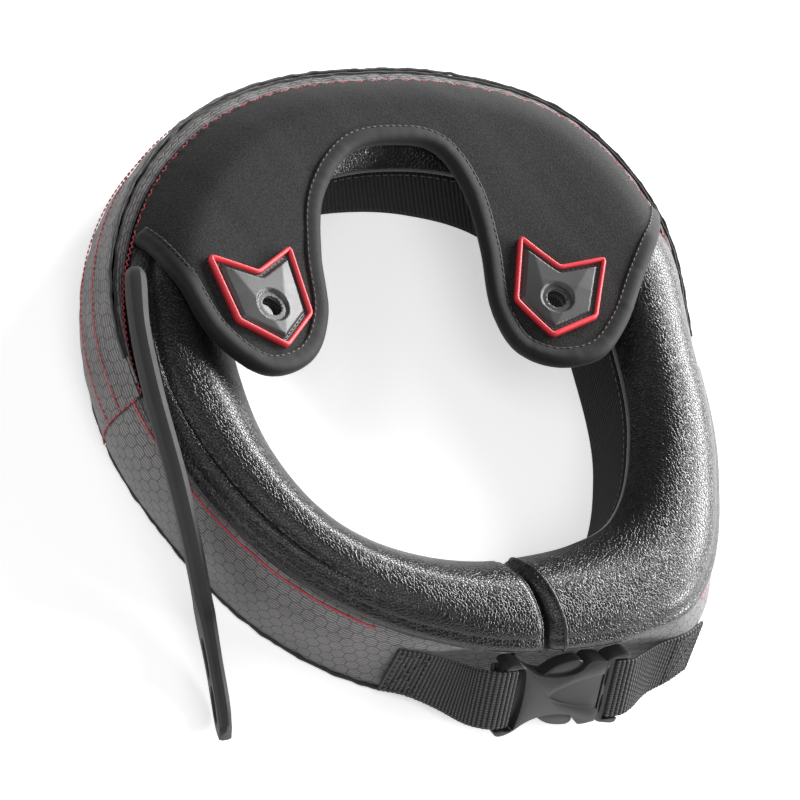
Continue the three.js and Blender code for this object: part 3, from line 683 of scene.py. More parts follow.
def wall_grid(first, last, rows, seed, pucker, over):
    """Outer wall between two angles, with puckers that grow towards its top, turned in over the shoulder."""
    place = stations(share_at(np.linspace(first, last, rows)))
    t = np.linspace(0, 1, WALL_COLUMNS)[None, :]
    height = WALL_FOOT + (place["shoulder_height"][:, None] - WALL_FOOT) * t
    length = np.linspace(0, 1, rows)[:, None] * abs(last - first) * 2.0
    fold = ripple(seed, length + 6 * t, 17.0) * (0.15 + 0.85 * t ** 3)
    fold = fold + 0.6 * ripple(seed + 1, length - 9 * t, 29.0) * np.sin(t * math.pi)
    reach = place["width"][:, None] + wall_reach(place, height) + 0.2 + pucker * fold
    s = np.linspace(0.25, 1, 4)[None, :]
    inwards, rise = (over * place["shoulder"][:, None], 1.9) if over else (2.4, 0.5)
    reach = np.concatenate([reach, reach[:, -1:] - inwards * s], 1)
    height = np.concatenate([height, height[:, -1:] + rise * (1 - (1 - s) ** 2)], 1)
    return ring_points(place, reach, height)


def wall_line(first, last, height, lift, spacing=1.0):
    """Line on the outer wall at a height, or at heights from one end to the other."""
    count = int(abs(last - first) * 2.0 / spacing) + 2
    place = stations(share_at(np.linspace(first, last, count)))
    heights = np.broadcast_to(np.linspace(*np.broadcast_to(height, 2), count)[:, None], (count, 1))
    reach = place["width"][:, None] + wall_reach(place, heights) + lift
    return ring_points(place, reach, heights)[:, 0]


def wall_panel(name, first, last, rows, seed, pucker, node, over=0.0):
    grid = wall_grid(first, last, rows, seed, pucker, over)
    panel = place_piece(cloth_skin(name, grid, 1.6, ripstop), "ripstop", node)


wall_panel("front_panel_left_cloth", 177.4, 264.62, 150, 3, 0.4, "front_panel_left")
wall_panel("side_panel_back_cloth", 264.78, 454.12, 300, 5, 0.55, "side_panel_back", SLIT_TURN)
wall_panel("front_panel_right_cloth", 454.28, 529.7, 130, 7, 0.4, "front_panel_right")

place = stations(np.linspace(0.004, 0.996, 240))
t = np.linspace(0, 1, 10)[None, :]
lining_reach = 0.4 + 2.8 * (1 - t) ** 1.5 + 0 * place["width"][:, None]
lining_grid = ring_points(place, lining_reach, 0.4 + LINING_TOP * t)
neck_lining = cloth_skin("neck_lining_cloth", lining_grid[::-1], 1.8, lining.material)
place_piece(neck_lining, "lining", "neck_lining")

# %% Gathered strip above the pocket slit
BAND_FIRST, BAND_LAST = 267.0, 451.0
BAND_ROWS = 520
place = stations(share_at(np.linspace(BAND_FIRST, BAND_LAST, BAND_ROWS)))
t = np.linspace(0, 1, 9)[None, :]
length = np.linspace(0, (BAND_LAST - BAND_FIRST) * 2.0, BAND_ROWS)[:, None]
gather = 0.35 * ripple(11, length + 3 * t, 13.0) * np.sin(t * math.pi) ** 0.7
reach = place["width"][:, None] + 0.2 + place["shoulder"][:, None] * (0.9 - SLIT_TURN) * t
height = place["shoulder_height"][:, None] + 2.3 + 0.9 * np.sin(t * math.pi) * (1 - 0.4 * t) + gather
band_grid = ring_points(place, reach, height)
band = cloth_skin("upper_band_cloth", band_grid[:, ::-1], 1.0, ripstop)
place_piece(band, "ripstop", "upper_band_back")


# %% Pocket hems and edges
def hem(name, first, last, seed, finish, slot, radius, flat, spot_at):
    """Rolled edge along the ring; `spot_at` gives distances and heights for its stations."""
    count = int(abs(last - first) * 2.0 / 1.1)
    place = stations(share_at(np.linspace(first, last, count)))
    reach, height = spot_at(place)
    length = np.arange(count) * 1.1
    reach = reach + 0.3 * ripple(seed, length, 13.0)
    height = height + 0.25 * ripple(seed + 1, length, 9.0)
    line = ring_points(place, reach[:, None], height[:, None])[:, 0]
    place_piece(path_sweep(name, line, ring_section(radius, 10, flat), finish), slot)


SLIT_FIRST, SLIT_LAST = 272.0, 449.0
hem("pocket_lip_inner", SLIT_FIRST, SLIT_LAST, 41, black_thread, "ripstop", 0.4, 1.3,
    lambda p: (p["width"] + (0.9 - SLIT_TURN) * p["shoulder"], p["shoulder_height"] + 2.7))
# The outer lip uses the darker ripstop copy, painted shade in its fold.
hem("pocket_lip_outer", SLIT_FIRST, SLIT_LAST, 43, ripstop_painted_shade, "ripstop", 0.55, 1.4,
    lambda p: (p["width"] + (1 - SLIT_TURN) * p["shoulder"] + 0.9, p["shoulder_height"] + 2.2))
FOOT_EDGES = (("left", 178.0, 264.5, 45), ("right", 454.5, 529.0, 47), ("back", 265.0, 454.0, 49))
FOOT_EDGE_HEIGHT = 1.4
for side, first, last, seed in FOOT_EDGES:
    hem(f"foot_edge_{side}", first, last, seed, black_thread, "ripstop", 0.9, 1.0,
        lambda p: (p["width"] + p["foot"] + 0.1, 0 * p["foot"] + FOOT_EDGE_HEIGHT))

# %% [markdown]
# ## The neoprene flap
# One flat U-shaped sheet is sewn along the back edge and falls over the pad towards the neck. Its height is
# that of the pad below it, then a curve that sags past the inner edge. A fine triangle mesh of the cut
# outline is dropped on that surface with rays, and everything on the flap is placed by the same rays. Along
# the back seam the cloth is pinched thinner and comes down to the leather's edge.

# %% Surface under the flap
FLAP_MIDDLE = 37.3
FLAP_CLOTH = 3.4
SAG = 0.13
SAG_START = 12.0
FLAP_SEWN_DROP = 12.4
FLAP_EDGE = [
    (-115, 67), (-102.8, 46.4), (-96.9, 26.7), (-88.6, 2.4), (-72, -11), (-53, -5.5), (-42, 11), (-38.5, 35),
    (-32, 57), (-16, 74.5), (1.5, 77.8), (17, 75), (25, 60), (26.5, 38), (25, 14), (30, -2.5), (43, -11),
    (59, -10), (72, 1), (85, 19.5), (98, 37), (116, 60),
]
carpet_place = stations(np.linspace(0.06, 0.94, 260))
carpet_t = np.linspace(0, 1, 70)[None, :]
carpet_reach = carpet_place["width"][:, None]
carpet_span = 1.04 * carpet_reach + 0.62 * carpet_place["reach"][:, None]
carpet_distance = 1.04 * carpet_reach - carpet_t * carpet_span
beyond = np.maximum(carpet_reach / 2 - carpet_distance, 0)
carpet_rows = carpet_distance / carpet_reach
carpet_height = np.where(carpet_rows >= 0.5, FLAP_MIDDLE + RISE - FLAP_SEWN_DROP * sewn_drop(carpet_rows),
                         FLAP_MIDDLE + RISE - SAG * beyond ** 2 / (beyond + SAG_START))
carpet = ring_points(carpet_place, carpet_distance, carpet_height)
carpet_tree = BVHTree.FromPolygons(carpet.reshape(-1, 3).tolist(), grid_faces(260, 70))


def on_flap(plan, lift=0.0):
    """Points of the flap's middle surface above plan points, with the surface's normals."""
    points, normals = [], []
    for x, y in np.asarray(plan)[:, :2]:
        hit, normal, _, _ = carpet_tree.ray_cast(Vector((x, y, 200.0)), Vector((0, 0, -1)))
        if hit is None:
            hit, normal, _, _ = carpet_tree.find_nearest(Vector((x, y, FLAP_MIDDLE + RISE)))
        normal = normal if normal.z > 0 else -normal
        points.append(hit + normal * lift)
        normals.append(normal)
    return np.array(points), np.array(normals)


def inset_line(line, amount):
    """Plan line moved to its left by an amount."""
    line = np.asarray(line, float)
    along = np.gradient(line, axis=0)
    along /= np.linalg.norm(along, axis=1)[:, None]
    return line + amount * np.stack([-along[:, 1], along[:, 0]], -1)


edge_rows = np.array([(x, y, 0) for x, y in FLAP_EDGE], float)
free_edge = even_line(smooth_line(edge_rows, 12)[:, :2], 2.2)
sewn_place = stations(np.linspace(8 / 60, 52 / 60, 160))
sewn_edge = sewn_place["inner"] + sewn_place["across"] * (SEWN_ROW * sewn_place["width"])[:, None]
print("free edge", len(free_edge), "points, sewn edge", len(sewn_edge))


# %% Flap cloth
def crossing(line, other):
    """First place where a plan line crosses another: index in each and the point."""
    for i in range(len(line) - 1):
        step = line[i + 1] - line[i]
        base = other[:-1] - line[i]
        way = np.diff(other, axis=0)
        area = step[0] * way[:, 1] - step[1] * way[:, 0]
        t = (base[:, 0] * way[:, 1] - base[:, 1] * way[:, 0]) / area
        s = (base[:, 0] * step[1] - base[:, 1] * step[0]) / area
        found = np.nonzero((t >= 0) & (t <= 1) & (s >= 0) & (s <= 1))[0]
        if len(found):
            return i, found[0], line[i] + step * t[found[0]]
    raise ValueError("the lines do not cross")


first, sewn_first, left_corner = crossing(free_edge, sewn_edge)
last, sewn_last, right_corner = crossing(free_edge[::-1], sewn_edge)
last = len(free_edge) - 1 - last
free_edge = np.concatenate([[left_corner], free_edge[first + 1:last], [right_corner]])
sewn_edge = np.concatenate([[left_corner], sewn_edge[sewn_first + 1:sewn_last], [right_corner]])
SHIELDS = {"left": (-65.5, 13.2, 7.6), "right": (48.6, 13.9, -21.4)}
HOLE_RADIUS = 3.7
circle = np.stack([np.cos(np.linspace(0, 2 * math.pi, 40, endpoint=False)),
                   np.sin(np.linspace(0, 2 * math.pi, 40, endpoint=False))], -1)


def cut_sheet(outline, holes, spacing):
    """Even triangles inside a plan outline, with round holes left open."""
    lo, hi = outline.min(0), outline.max(0)
    xs, ys = np.arange(lo[0], hi[0], spacing), np.arange(lo[1], hi[1], spacing * 0.87)
    grid = np.array([(x + (j % 2) * spacing / 2, y) for j, y in enumerate(ys) for x in xs])
    keep = np.ones(len(grid), bool)
    for centre, radius in holes:
        keep &= np.linalg.norm(grid - centre, axis=1) > radius + 0.4 * spacing
    loops = [outline] + [np.asarray(centre) + circle * radius for centre, radius in holes]
    points, edges = [], []
    for loop in loops:
        start = len(points)
        points += loop.tolist()
        edges += [(start + k, start + (k + 1) % len(loop)) for k in range(len(loop))]
    points += grid[keep].tolist()
    result = delaunay_2d_cdt([Vector(p) for p in points], edges, [], 1, 1e-4)
    flat = np.array([tuple(p) for p in result[0]])
    faces = [tuple(face) for face in result[2]]
    for centre, radius in holes:
        faces = [f for f in faces if np.linalg.norm(flat[list(f)].mean(0) - centre) > radius * 0.98]
    used = sorted({index for face in faces for index in face})
    place = {old: new for new, old in enumerate(used)}
    return flat[used], [tuple(place[index] for index in face) for face in faces]


outline = np.concatenate([inset_line(free_edge, 1.2), sewn_edge[::-1][1:-1]])
holes = [(np.array(shield[:2]), HOLE_RADIUS) for shield in SHIELDS.values()]
plan, faces = cut_sheet(outline, holes, 2.6)
points, normals = on_flap(plan)
wave = 0.5 * ripple(21, plan[:, 0] + 0.5 * plan[:, 1], 47.0)
wave = wave + 0.4 * ripple(23, plan[:, 1] - 0.3 * plan[:, 0], 39.0)
seam_gap = np.min(np.linalg.norm(plan[:, None] - sewn_edge[None, ::2], axis=2), axis=1)
wave = 0.5 * wave * np.clip(seam_gap / 12.0, 0, 1)
flap = make_piece("neoprene_flap_cloth", points + normals * wave[:, None], faces, neoprene.material)
pinch = flap.vertex_groups.new(name="seam_pinch")
for index, gap in enumerate(seam_gap):
    pinch.add([index], float(np.clip(0.45 + gap / 7.0, 0, 1)), "REPLACE")
modified(flap, "SOLIDIFY", thickness=FLAP_CLOTH / 1000.0, offset=0.0, vertex_group="seam_pinch")
place_piece(flap, "neoprene", "neoprene_flap")

# %% [markdown]
# ## Binding round the free edge
# A tape is folded over the flap's free edge and stitched through. The section is rounded at the fold and flat
# where the stitches pull it down.

# %% Folded binding
BIND_MIDDLE = 3.25
bind_plan = even_line(inset_line(free_edge, BIND_MIDDLE), 1.2)
bind_path, bind_normal = on_flap(bind_plan)
half_tape = np.array([(3.25, 0.0), (3.1, 1.3), (2.5, 2.4), (1.4, 2.95), (0.0, 3.0), (-1.4, 2.75), (-2.5, 2.4),
                      (-3.1, 2.35), (-3.35, 2.0)])
tape = np.concatenate([half_tape, (half_tape * (1, -1))[::-1][:-1]])
length = np.arange(len(bind_path)) * 1.2
swell = 1 + 0.03 * ripple(31, length, 11.0) + 0.02 * ripple(33, length, 4.6)
tapes = tape[None] * np.stack([np.ones_like(swell), swell], -1)[:, None, :]
bound = path_sweep("folded_binding", bind_path, tapes, binding.material, bind_normal)
place_piece(bound, "binding", "flap_binding")

# %% [markdown]
# ## Shields on the tabs
# Each tab carries a moulded rubber shield: a bright red rim round a dark plate with sloping facets and a
# round hole through plate and cloth. Both are laid on the flap's own surface.

# %% Shields
SHIELD = np.array([(0, -15.8), (15.4, -4.3), (16.8, 22), (0, 13.9), (-16.8, 22), (-15.4, -4.3)], float)
RIM_WIDTH = 1.6
SEAT = FLAP_CLOTH / 2 + 0.3


def shield_outline(shield, inset, round_by, steps=6):
    """Outline of a shield moved inwards, with rounded corners, in plan."""
    x, y, turn = shield
    before = SHIELD - np.roll(SHIELD, 1, 0)
    after = np.roll(SHIELD, -1, 0) - SHIELD
    normals = [np.stack([-edge[:, 1], edge[:, 0]], -1) for edge in (before, after)]
    normals = [normal / np.linalg.norm(normal, axis=1)[:, None] for normal in normals]
    mitre = normals[0] + normals[1]
    mitre /= np.linalg.norm(mitre, axis=1)[:, None]
    moved = SHIELD + mitre * (inset / (mitre * normals[0]).sum(1))[:, None]
    corners = []
    for k, corner in enumerate(moved):
        back = moved[k - 1] - corner
        ahead = moved[(k + 1) % len(moved)] - corner
        start = corner + back / np.linalg.norm(back) * round_by
        end = corner + ahead / np.linalg.norm(ahead) * round_by
        for t in np.linspace(0, 1, steps):
            corners.append((1 - t) ** 2 * start + 2 * t * (1 - t) * corner + t * t * end)
    cos, sin = math.cos(math.radians(turn)), math.sin(math.radians(turn))
    return np.array(corners) @ np.array([(cos, sin), (-sin, cos)]) + (x, y)


RIM_SECTION = np.array([(0.8, -0.3), (0.8, 1.5), (0.68, 2.0), (0.4, 2.35), (0, 2.45), (-0.4, 2.35),
                        (-0.68, 2.0), (-0.8, 1.5), (-0.8, -0.3)])
RECESS = 6.0
STITCH_BORDER = 1.5
RIDGE = np.array([(10.5, 16.0), (0.5, -11.5)])
for side, shield in SHIELDS.items():
    loop = shield_outline(shield, RIM_WIDTH / 2, 1.1)
    rim_plan = even_line(np.concatenate([loop, loop[:1]]), 0.9)[:-1]
    rim_path, rim_normal = on_flap(rim_plan, SEAT)
    rim = path_sweep(f"shield_rim_{side}_rubber", rim_path, RIM_SECTION, red_rubber, rim_normal, closed=True)
    place_piece(rim, "red_rubber", f"shield_rim_{side}")

    centre = np.array(shield[:2])
    loops = shield_outline(shield, RIM_WIDTH - 0.1, 0.8)
    loops = even_line(np.concatenate([loops, loops[:1]]), 1.0)[:-1]
    plan, faces = cut_sheet(loops, [(centre, HOLE_RADIUS)], 0.5)
    base, normals = on_flap(plan, SEAT)
    reach = np.linalg.norm(plan - centre, axis=1)
    edge_gap = np.min(np.linalg.norm(plan[:, None] - loops[None], axis=2), axis=1)
    cos, sin = math.cos(math.radians(shield[2])), math.sin(math.radians(shield[2]))
    own = (plan - centre) @ np.array([(cos, -sin), (sin, cos)])
    border = np.clip((edge_gap - STITCH_BORDER) / 0.5, 0, 1)
    ridge = RIDGE[1] - RIDGE[0]
    ridge = ridge / np.linalg.norm(ridge)
    outside = (np.abs(own[:, 0]) - RIDGE[0][0]) * -ridge[1] + (own[:, 1] - RIDGE[0][1]) * ridge[0]
    facet = 0.16 * np.maximum(outside, 0)
    crown = np.clip(np.maximum(own[:, 1] - 6.0, 0) * 0.05, 0, 0.4)
    dip = np.clip((RECESS - reach) / 0.35, 0, 1)
    lift = 0.9 + border * (2.0 - facet - crown) * (1 - 0.5 * dip)
    plate = make_piece(f"shield_plate_{side}_rubber", base + normals * lift[:, None], faces, plate_rubber)
    modified(plate, "SOLIDIFY", thickness=0.0016, offset=-1.0)
    place_piece(plate, "plate_rubber", f"shield_plate_{side}")

# %% [markdown]
# ## The loose rubber strap
# A moulded strap lies over the left of the pad and hangs down the front wall. It has flat faces with cut
# corners, and ends in a paddle with a slot and a round hole.

# %% Strap
STRAP = np.array([
    (-108.2, 31.5, 44.2, 4, 4), (-108.9, 28.5, 44.3, 6.6, 7.5), (-112.2, 9, 44.5, 6.6, 7.5),
    (-112.9, -14, 43.5, 6.6, 7.5), (-110, -42.5, 38.2, 6.4, 7.5), (-106.2, -62, 29, 6, 8),
    (-102.8, -77, 19.5, 5.6, 9), (-101.6, -84, 15.5, 5, 17), (-101, -97, 12, 4.5, 20),
    (-102.3, -116, 11, 4.5, 20), (-102.8, -121.2, 11, 4, 12),
])
STRAP_LEAN = math.radians(20)
STRAP_SLOT = {"y": -95.5, "z": 12.4, "length": 14.0, "width": 8.0}
STRAP_HOLE = {"y": -111.0, "z": 11.3, "radius": 6.4}


def strap_frame(along):
    level = np.stack([-along[..., 1], along[..., 0], 0 * along[..., 0]], -1)
    level /= np.linalg.norm(level, axis=-1, keepdims=True)
    up = np.cross(along, level)
    across = level * math.cos(STRAP_LEAN) + up * math.sin(STRAP_LEAN)
    tall = up * math.cos(STRAP_LEAN) - level * math.sin(STRAP_LEAN)
    return across, tall


line = even_line(smooth_line(STRAP, 14), 1.5)
along = np.gradient(line[:, :3], axis=0)
along /= np.linalg.norm(along, axis=1)[:, None]
across, tall = strap_frame(along)
grid = []
for k in range(len(line)):
    u, v = line[k, 3:5] / 2
    cut = 0.26 * min(line[k, 3:5])
    around = np.array([(u - cut, -v), (u, cut - v), (u, v - cut), (u - cut, v), (cut - u, v), (-u, v - cut),
                       (-u, cut - v), (cut - u, -v)])
    grid.append(line[k, :3] + across[k] * around[:, :1] + tall[k] * around[:, 1:])
grid = np.array(grid)
strap = make_piece("rubber_strap_moulded", grid.reshape(-1, 3), tube_faces(*grid.shape[:2]), strap_rubber)


# %% Slot and hole in the strap's paddle
def boolean(piece, cutter, operation="DIFFERENCE"):
    modified(piece, "BOOLEAN", operation=operation, object=cutter, solver="EXACT")
    mesh = cutter.data
    bpy.data.objects.remove(cutter)
    bpy.data.meshes.remove(mesh)
    return piece


def soften(piece, width, segments=3):
    """Rounds the sharp edges, as a mould does."""
    modified(piece, "BEVEL", width=width / 1000.0, segments=segments, limit_method="ANGLE", angle_limit=0.5)
    piece.data.set_sharp_from_angle(angle=0.6)
    return piece


def prism(name, outline, low, high, finish, axes=np.eye(3), origin=(0, 0, 0)):
    """Straight block over a plan outline, set in a frame given by its three axes."""
    outline = np.asarray(outline, float)
    count = len(outline)
    flat = [np.column_stack([outline, np.full(count, level)]) for level in (low, high)]
    points = np.concatenate(flat) @ np.asarray(axes) + np.asarray(origin)
    faces = [tuple(reversed(range(count))), tuple(range(count, 2 * count))]
    faces += [(k, (k + 1) % count, count + (k + 1) % count, count + k) for k in range(count)]
    return make_piece(name, points, faces, finish)


paddle = STRAP[-2, :3] - STRAP[-4, :3]
paddle /= np.linalg.norm(paddle)
across, tall = strap_frame(paddle)
paddle_axes = np.stack([tall, paddle, across])
round_end = STRAP_SLOT["width"] / 2
straight = STRAP_SLOT["length"] / 2 - round_end
half_turn = np.linspace(0, math.pi, 12)
arc = round_end * np.stack([np.cos(half_turn), np.sin(half_turn)], -1)
slot_outline = np.concatenate([arc + (0, straight), -arc - (0, straight)])
slot_place = (STRAP[-3, 0], STRAP_SLOT["y"], STRAP_SLOT["z"])
hole_place = (STRAP[-3, 0], STRAP_HOLE["y"], STRAP_HOLE["z"])
for cutter, outline, place in (("slot_cutter", slot_outline, slot_place),
                               ("hole_cutter", circle * STRAP_HOLE["radius"], hole_place)):
    boolean(strap, prism(cutter, outline, -20, 20, strap_rubber, paddle_axes, place))
soften(strap, 0.35, 2)
place_piece(strap, "strap_rubber", "rubber_strap")

# %% [markdown]
# ## Buckle and webbing
# The side-release buckle is drawn on its own face: x along the webbing, y up the face, z out of it, from the
# buckle's middle. Both halves are cut from slabs, bevelled like a moulding, and turned to lean on the wall.

# %% Buckle frame
BUCKLE = np.array([17.4, -120.9, 18.0])
LEAN = math.radians(35)
BUCKLE_AXES = np.array([
    (1, 0, 0),
    (0, math.sin(LEAN), math.cos(LEAN)),
    (0, -math.cos(LEAN), math.sin(LEAN)),
])
SOCKET_SIDE = [(-24, 11.2), (-23.6, 12.9), (-22.2, 13.7), (-19.6, 13.5), (-16.6, 12.2), (-13.4, 10),
               (-9.5, 8.2), (-4, 7.3), (1.5, 7.5), (5.5, 8.7), (7.6, 10.8), (8.8, 12.1), (11, 12.3),
               (15.4, 11.7)]
PLUG_SIDE = [(15.9, 11.6), (17.5, 12.6), (20.5, 13.3), (23.4, 13.7), (24.7, 13.1), (25, 11.4)]
BUTTON = [(-8.2, 7.7), (-6, 9.6), (-2.5, 11.5), (2, 12.5), (5.4, 12.5), (7, 11.2), (6.3, 9.3), (3.5, 8),
          (-2, 7.4)]
SOCKET_THICK = 8.0
PLUG_THICK = 6.6


def smooth_outline(side, steps=5):
    """Outline from its upper half, mirrored across the long axis."""
    rows = np.array([(x, y, 0) for x, y in side], float)
    upper = smooth_line(rows, steps)[:, :2]
    return np.concatenate([upper * (1, -1), upper[::-1]])


def slab(name, outline, thick, middle=0.0):
    return prism(name, outline, middle - thick / 2, middle + thick / 2, plastic, BUCKLE_AXES, BUCKLE)


def box_outline(x0, x1, half):
    return np.array([(x0, -half), (x1, -half), (x1, half), (x0, half)], float)


# %% Socket half
socket = slab("buckle_socket_moulded", smooth_outline(SOCKET_SIDE), SOCKET_THICK)
SLOT_HALF = 12.2
bow = np.linspace(-SLOT_HALF, SLOT_HALF, 17)
bowed = np.stack([-16.6 + 1.5 * (1 - (bow / SLOT_HALF) ** 2), bow], -1)
slot = np.concatenate([[(-20, -SLOT_HALF)], bowed, [(-20, SLOT_HALF)]])
boolean(socket, slab("slot_cutter", slot, 30))
for level in (5.7, -5.7):
    boolean(socket, slab("bar_cutter", box_outline(-25, -18.5, 11.9), 8.0, level))
boolean(socket, slab("mouth_cutter", box_outline(9.8, 18, 10.4), 5.4))
nose = np.linspace(-1, 1, 25)


def bullet(tip, half, end):
    """Bullet-shaped outline from its tip to its straight end."""
    curve = np.stack([tip + 20.4 * np.abs(nose) ** 1.9, half * np.sign(nose) * np.abs(nose) ** 1.05], -1)
    return np.concatenate([curve, [(end, half), (end, -half)]])


groove = slab("groove_cutter", bullet(-5.0, 6.9, 18), 2.0, SOCKET_THICK / 2)
boolean(groove, slab("groove_inside", bullet(-4.1, 6.0, 19), 5.0, SOCKET_THICK / 2))
boolean(socket, groove)
soften(socket, 0.55)
place_piece(socket, "plastic", "buckle_socket")

# %% Plug half with its two buttons
plug = slab("buckle_plug_moulded", smooth_outline(PLUG_SIDE), PLUG_THICK)
boolean(plug, slab("slot_cutter", box_outline(18.7, 21, 12.0), 30))
for level in (5.7, -5.7):
    boolean(plug, slab("bar_cutter", box_outline(20.6, 26, 11.9), 8.0, level))
for y in (-5.2, 5.2):
    dent = np.array([16.9, y]) + circle * (0.5, 3.6)
    boolean(plug, slab("dent_cutter", dent, 1.2, PLUG_THICK / 2))
soften(plug, 0.5)
button_line = even_line(smooth_line([(x, y, 0) for x, y in BUTTON + BUTTON[:1]], 6)[:, :2], 0.8)[:-1]
for flip in (1, -1):
    button = slab("button", button_line[::-flip] * (1, flip), 5.4)
    soften(button, 1.9, 5)
    boolean(plug, button, "UNION")
place_piece(plug, "plastic", "buckle_plug")

# %% Webbing
WEB_WIDTH = 22.0
WEB_THICK = 1.6
LEFT_TAIL = [(-59, -14.6, 12), (-49, -11.6, 14), (-39, -6.8, 22)]
RIGHT_TAIL = [(64, -14.8, 25), (53.5, -9.2, 24), (41.5, -5.4, 28)]


def wrap_rows(edge, way):
    """Rows that run to a bar and fold round it, as x, distance out of the buckle's middle and lean."""
    over, past = 3.1, 1.4
    half = [(-5.4, 0.96 * over), (-0.6, over), (0.68 * past, 0.84 * over), (past, 0.4 * over)]
    whole = [(-10, 0.2 * over)] + half + [(x, -out) for x, out in reversed(half)]
    return [(edge + way * x, out, 35.0) for x, out in whole]


def webbing_strip(name, rows, node):
    """Strip along its rows, with woven ribs across it."""
    line = even_line(smooth_line(rows, 12), RIB / 5)
    x, out, lean = line[:, 0], line[:, 1], np.radians(line[:, 2])
    way = np.gradient(np.stack([x, out], -1), axis=0)
    way /= np.linalg.norm(way, axis=1)[:, None]
    normal = np.stack([-way[:, 1], way[:, 0]], -1)
    steps = np.linspace(-1, 1, 61)
    length = np.arange(len(line))[:, None] * RIB / 5
    wave = np.abs(np.sin(length / RIB * math.pi)) ** 0.8
    chain = 0.08 * np.sin(steps * WEB_WIDTH / 2 / 0.9 * math.pi + length / RIB * math.pi)
    thick = (WEB_THICK / 2 - 0.6 + 0.6 * wave + chain) * np.clip((1 - steps ** 2) * 12, 0.25, 1) ** 0.5
    across = np.concatenate([steps, steps[::-1]]) * WEB_WIDTH / 2 + 0 * length
    off = np.concatenate([thick, -thick[:, ::-1]], 1)
    grid = np.empty(across.shape + (3,))
    level_x = x[:, None] + normal[:, :1] * off
    level_out = out[:, None] + normal[:, 1:] * off
    turn = math.pi / 2 - lean[:, None]
    grid[..., 0] = level_x + BUCKLE[0]
    grid[..., 1] = across * np.cos(turn) - level_out * np.sin(turn) + BUCKLE[1]
    grid[..., 2] = across * np.sin(turn) + level_out * np.cos(turn) + BUCKLE[2]
    flat = np.stack([np.broadcast_to(length, across.shape), across], -1).reshape(-1, 2) / 1000.0
    piece = make_piece(name, grid.reshape(-1, 3), tube_faces(*grid.shape[:2]), webbing.material, flat)
    place_piece(piece, "webbing", node)


webbing_strip("webbing_left_ribbed", LEFT_TAIL + wrap_rows(-20.0, 1), "webbing_left")
webbing_strip("webbing_right_ribbed", RIGHT_TAIL + wrap_rows(21.0, -1), "webbing_right")

# %% [markdown]
# ## Thread
# Stitches repeat along a seam, so a node tree makes them: it follows an edge line at an even pitch, sets one
# small thread lump on each point along the seam's direction, and joins them. A second tree runs a round
# thread along a zigzag. Both take their sizes as named inputs.


# %% Thread trees
def thread_tree(name, inputs):
    tree = bpy.data.node_groups.new(name, "GeometryNodeTree")
    tree.interface.new_socket("Geometry", in_out="INPUT", socket_type="NodeSocketGeometry")
    for label, kind in inputs.items():
        tree.interface.new_socket(label, in_out="INPUT", socket_type=kind)
    tree.interface.new_socket("Geometry", in_out="OUTPUT", socket_type="NodeSocketGeometry")
    start, end = tree.nodes.new("NodeGroupInput"), tree.nodes.new("NodeGroupOutput")

    def node(kind, links, **settings):
        made = tree.nodes.new(kind)
        for key, value in settings.items():
            setattr(made, key, value)
        for socket, source in links.items():
            if isinstance(source, bpy.types.NodeSocket):
                tree.links.new(source, made.inputs[socket])
            else:
                made.inputs[socket].default_value = source
        return made

    return tree, start.outputs, end.inputs, node


NUMBER = "NodeSocketFloat"
stitch_inputs = {"Pitch": NUMBER, "Length": NUMBER, "Radius": NUMBER, "Thread": "NodeSocketMaterial"}
stitches, given, result, node = thread_tree("seam_stitches", stitch_inputs)
seam = node("GeometryNodeMeshToCurve", {"Mesh": given["Geometry"]})
seam = node("GeometryNodeResampleCurve", {"Curve": seam.outputs[0], "Length": given["Pitch"]}, mode="LENGTH")
lump = node("GeometryNodeMeshUVSphere", {"Segments": 8, "Rings": 6, "Radius": 1.0})
half = node("ShaderNodeMath", {0: given["Length"], 1: 0.5}, operation="MULTIPLY")
size = node("ShaderNodeCombineXYZ", {"X": half.outputs[0], "Y": given["Radius"], "Z": given["Radius"]})
tangent = node("GeometryNodeInputTangent", {})
turned = node("FunctionNodeAlignRotationToVector", {"Vector": tangent.outputs[0]}, axis="X")
laid = node("GeometryNodeInstanceOnPoints", {"Points": seam.outputs[0], "Instance": lump.outputs[0],
                                             "Rotation": turned.outputs[0], "Scale": size.outputs[0]})
joined = node("GeometryNodeRealizeInstances", {"Geometry": laid.outputs[0]})
smooth = node("GeometryNodeSetShadeSmooth", {"Geometry": joined.outputs[0]})
dyed = node("GeometryNodeSetMaterial", {"Geometry": smooth.outputs[0], "Material": given["Thread"]})
stitches.links.new(dyed.outputs[0], result["Geometry"])

zigzag, given, result, node = thread_tree("zigzag_thread", {"Radius": NUMBER, "Thread": "NodeSocketMaterial"})
seam = node("GeometryNodeMeshToCurve", {"Mesh": given["Geometry"]})
round_thread = node("GeometryNodeCurvePrimitiveCircle", {"Resolution": 6, "Radius": given["Radius"]})
tube = node("GeometryNodeCurveToMesh", {"Curve": seam.outputs[0], "Profile Curve": round_thread.outputs[0],
                                        "Fill Caps": True})
joined = node("GeometryNodeRealizeInstances", {"Geometry": tube.outputs[0]})
dyed = node("GeometryNodeSetMaterial", {"Geometry": joined.outputs[0], "Material": given["Thread"]})
zigzag.links.new(dyed.outputs[0], result["Geometry"])


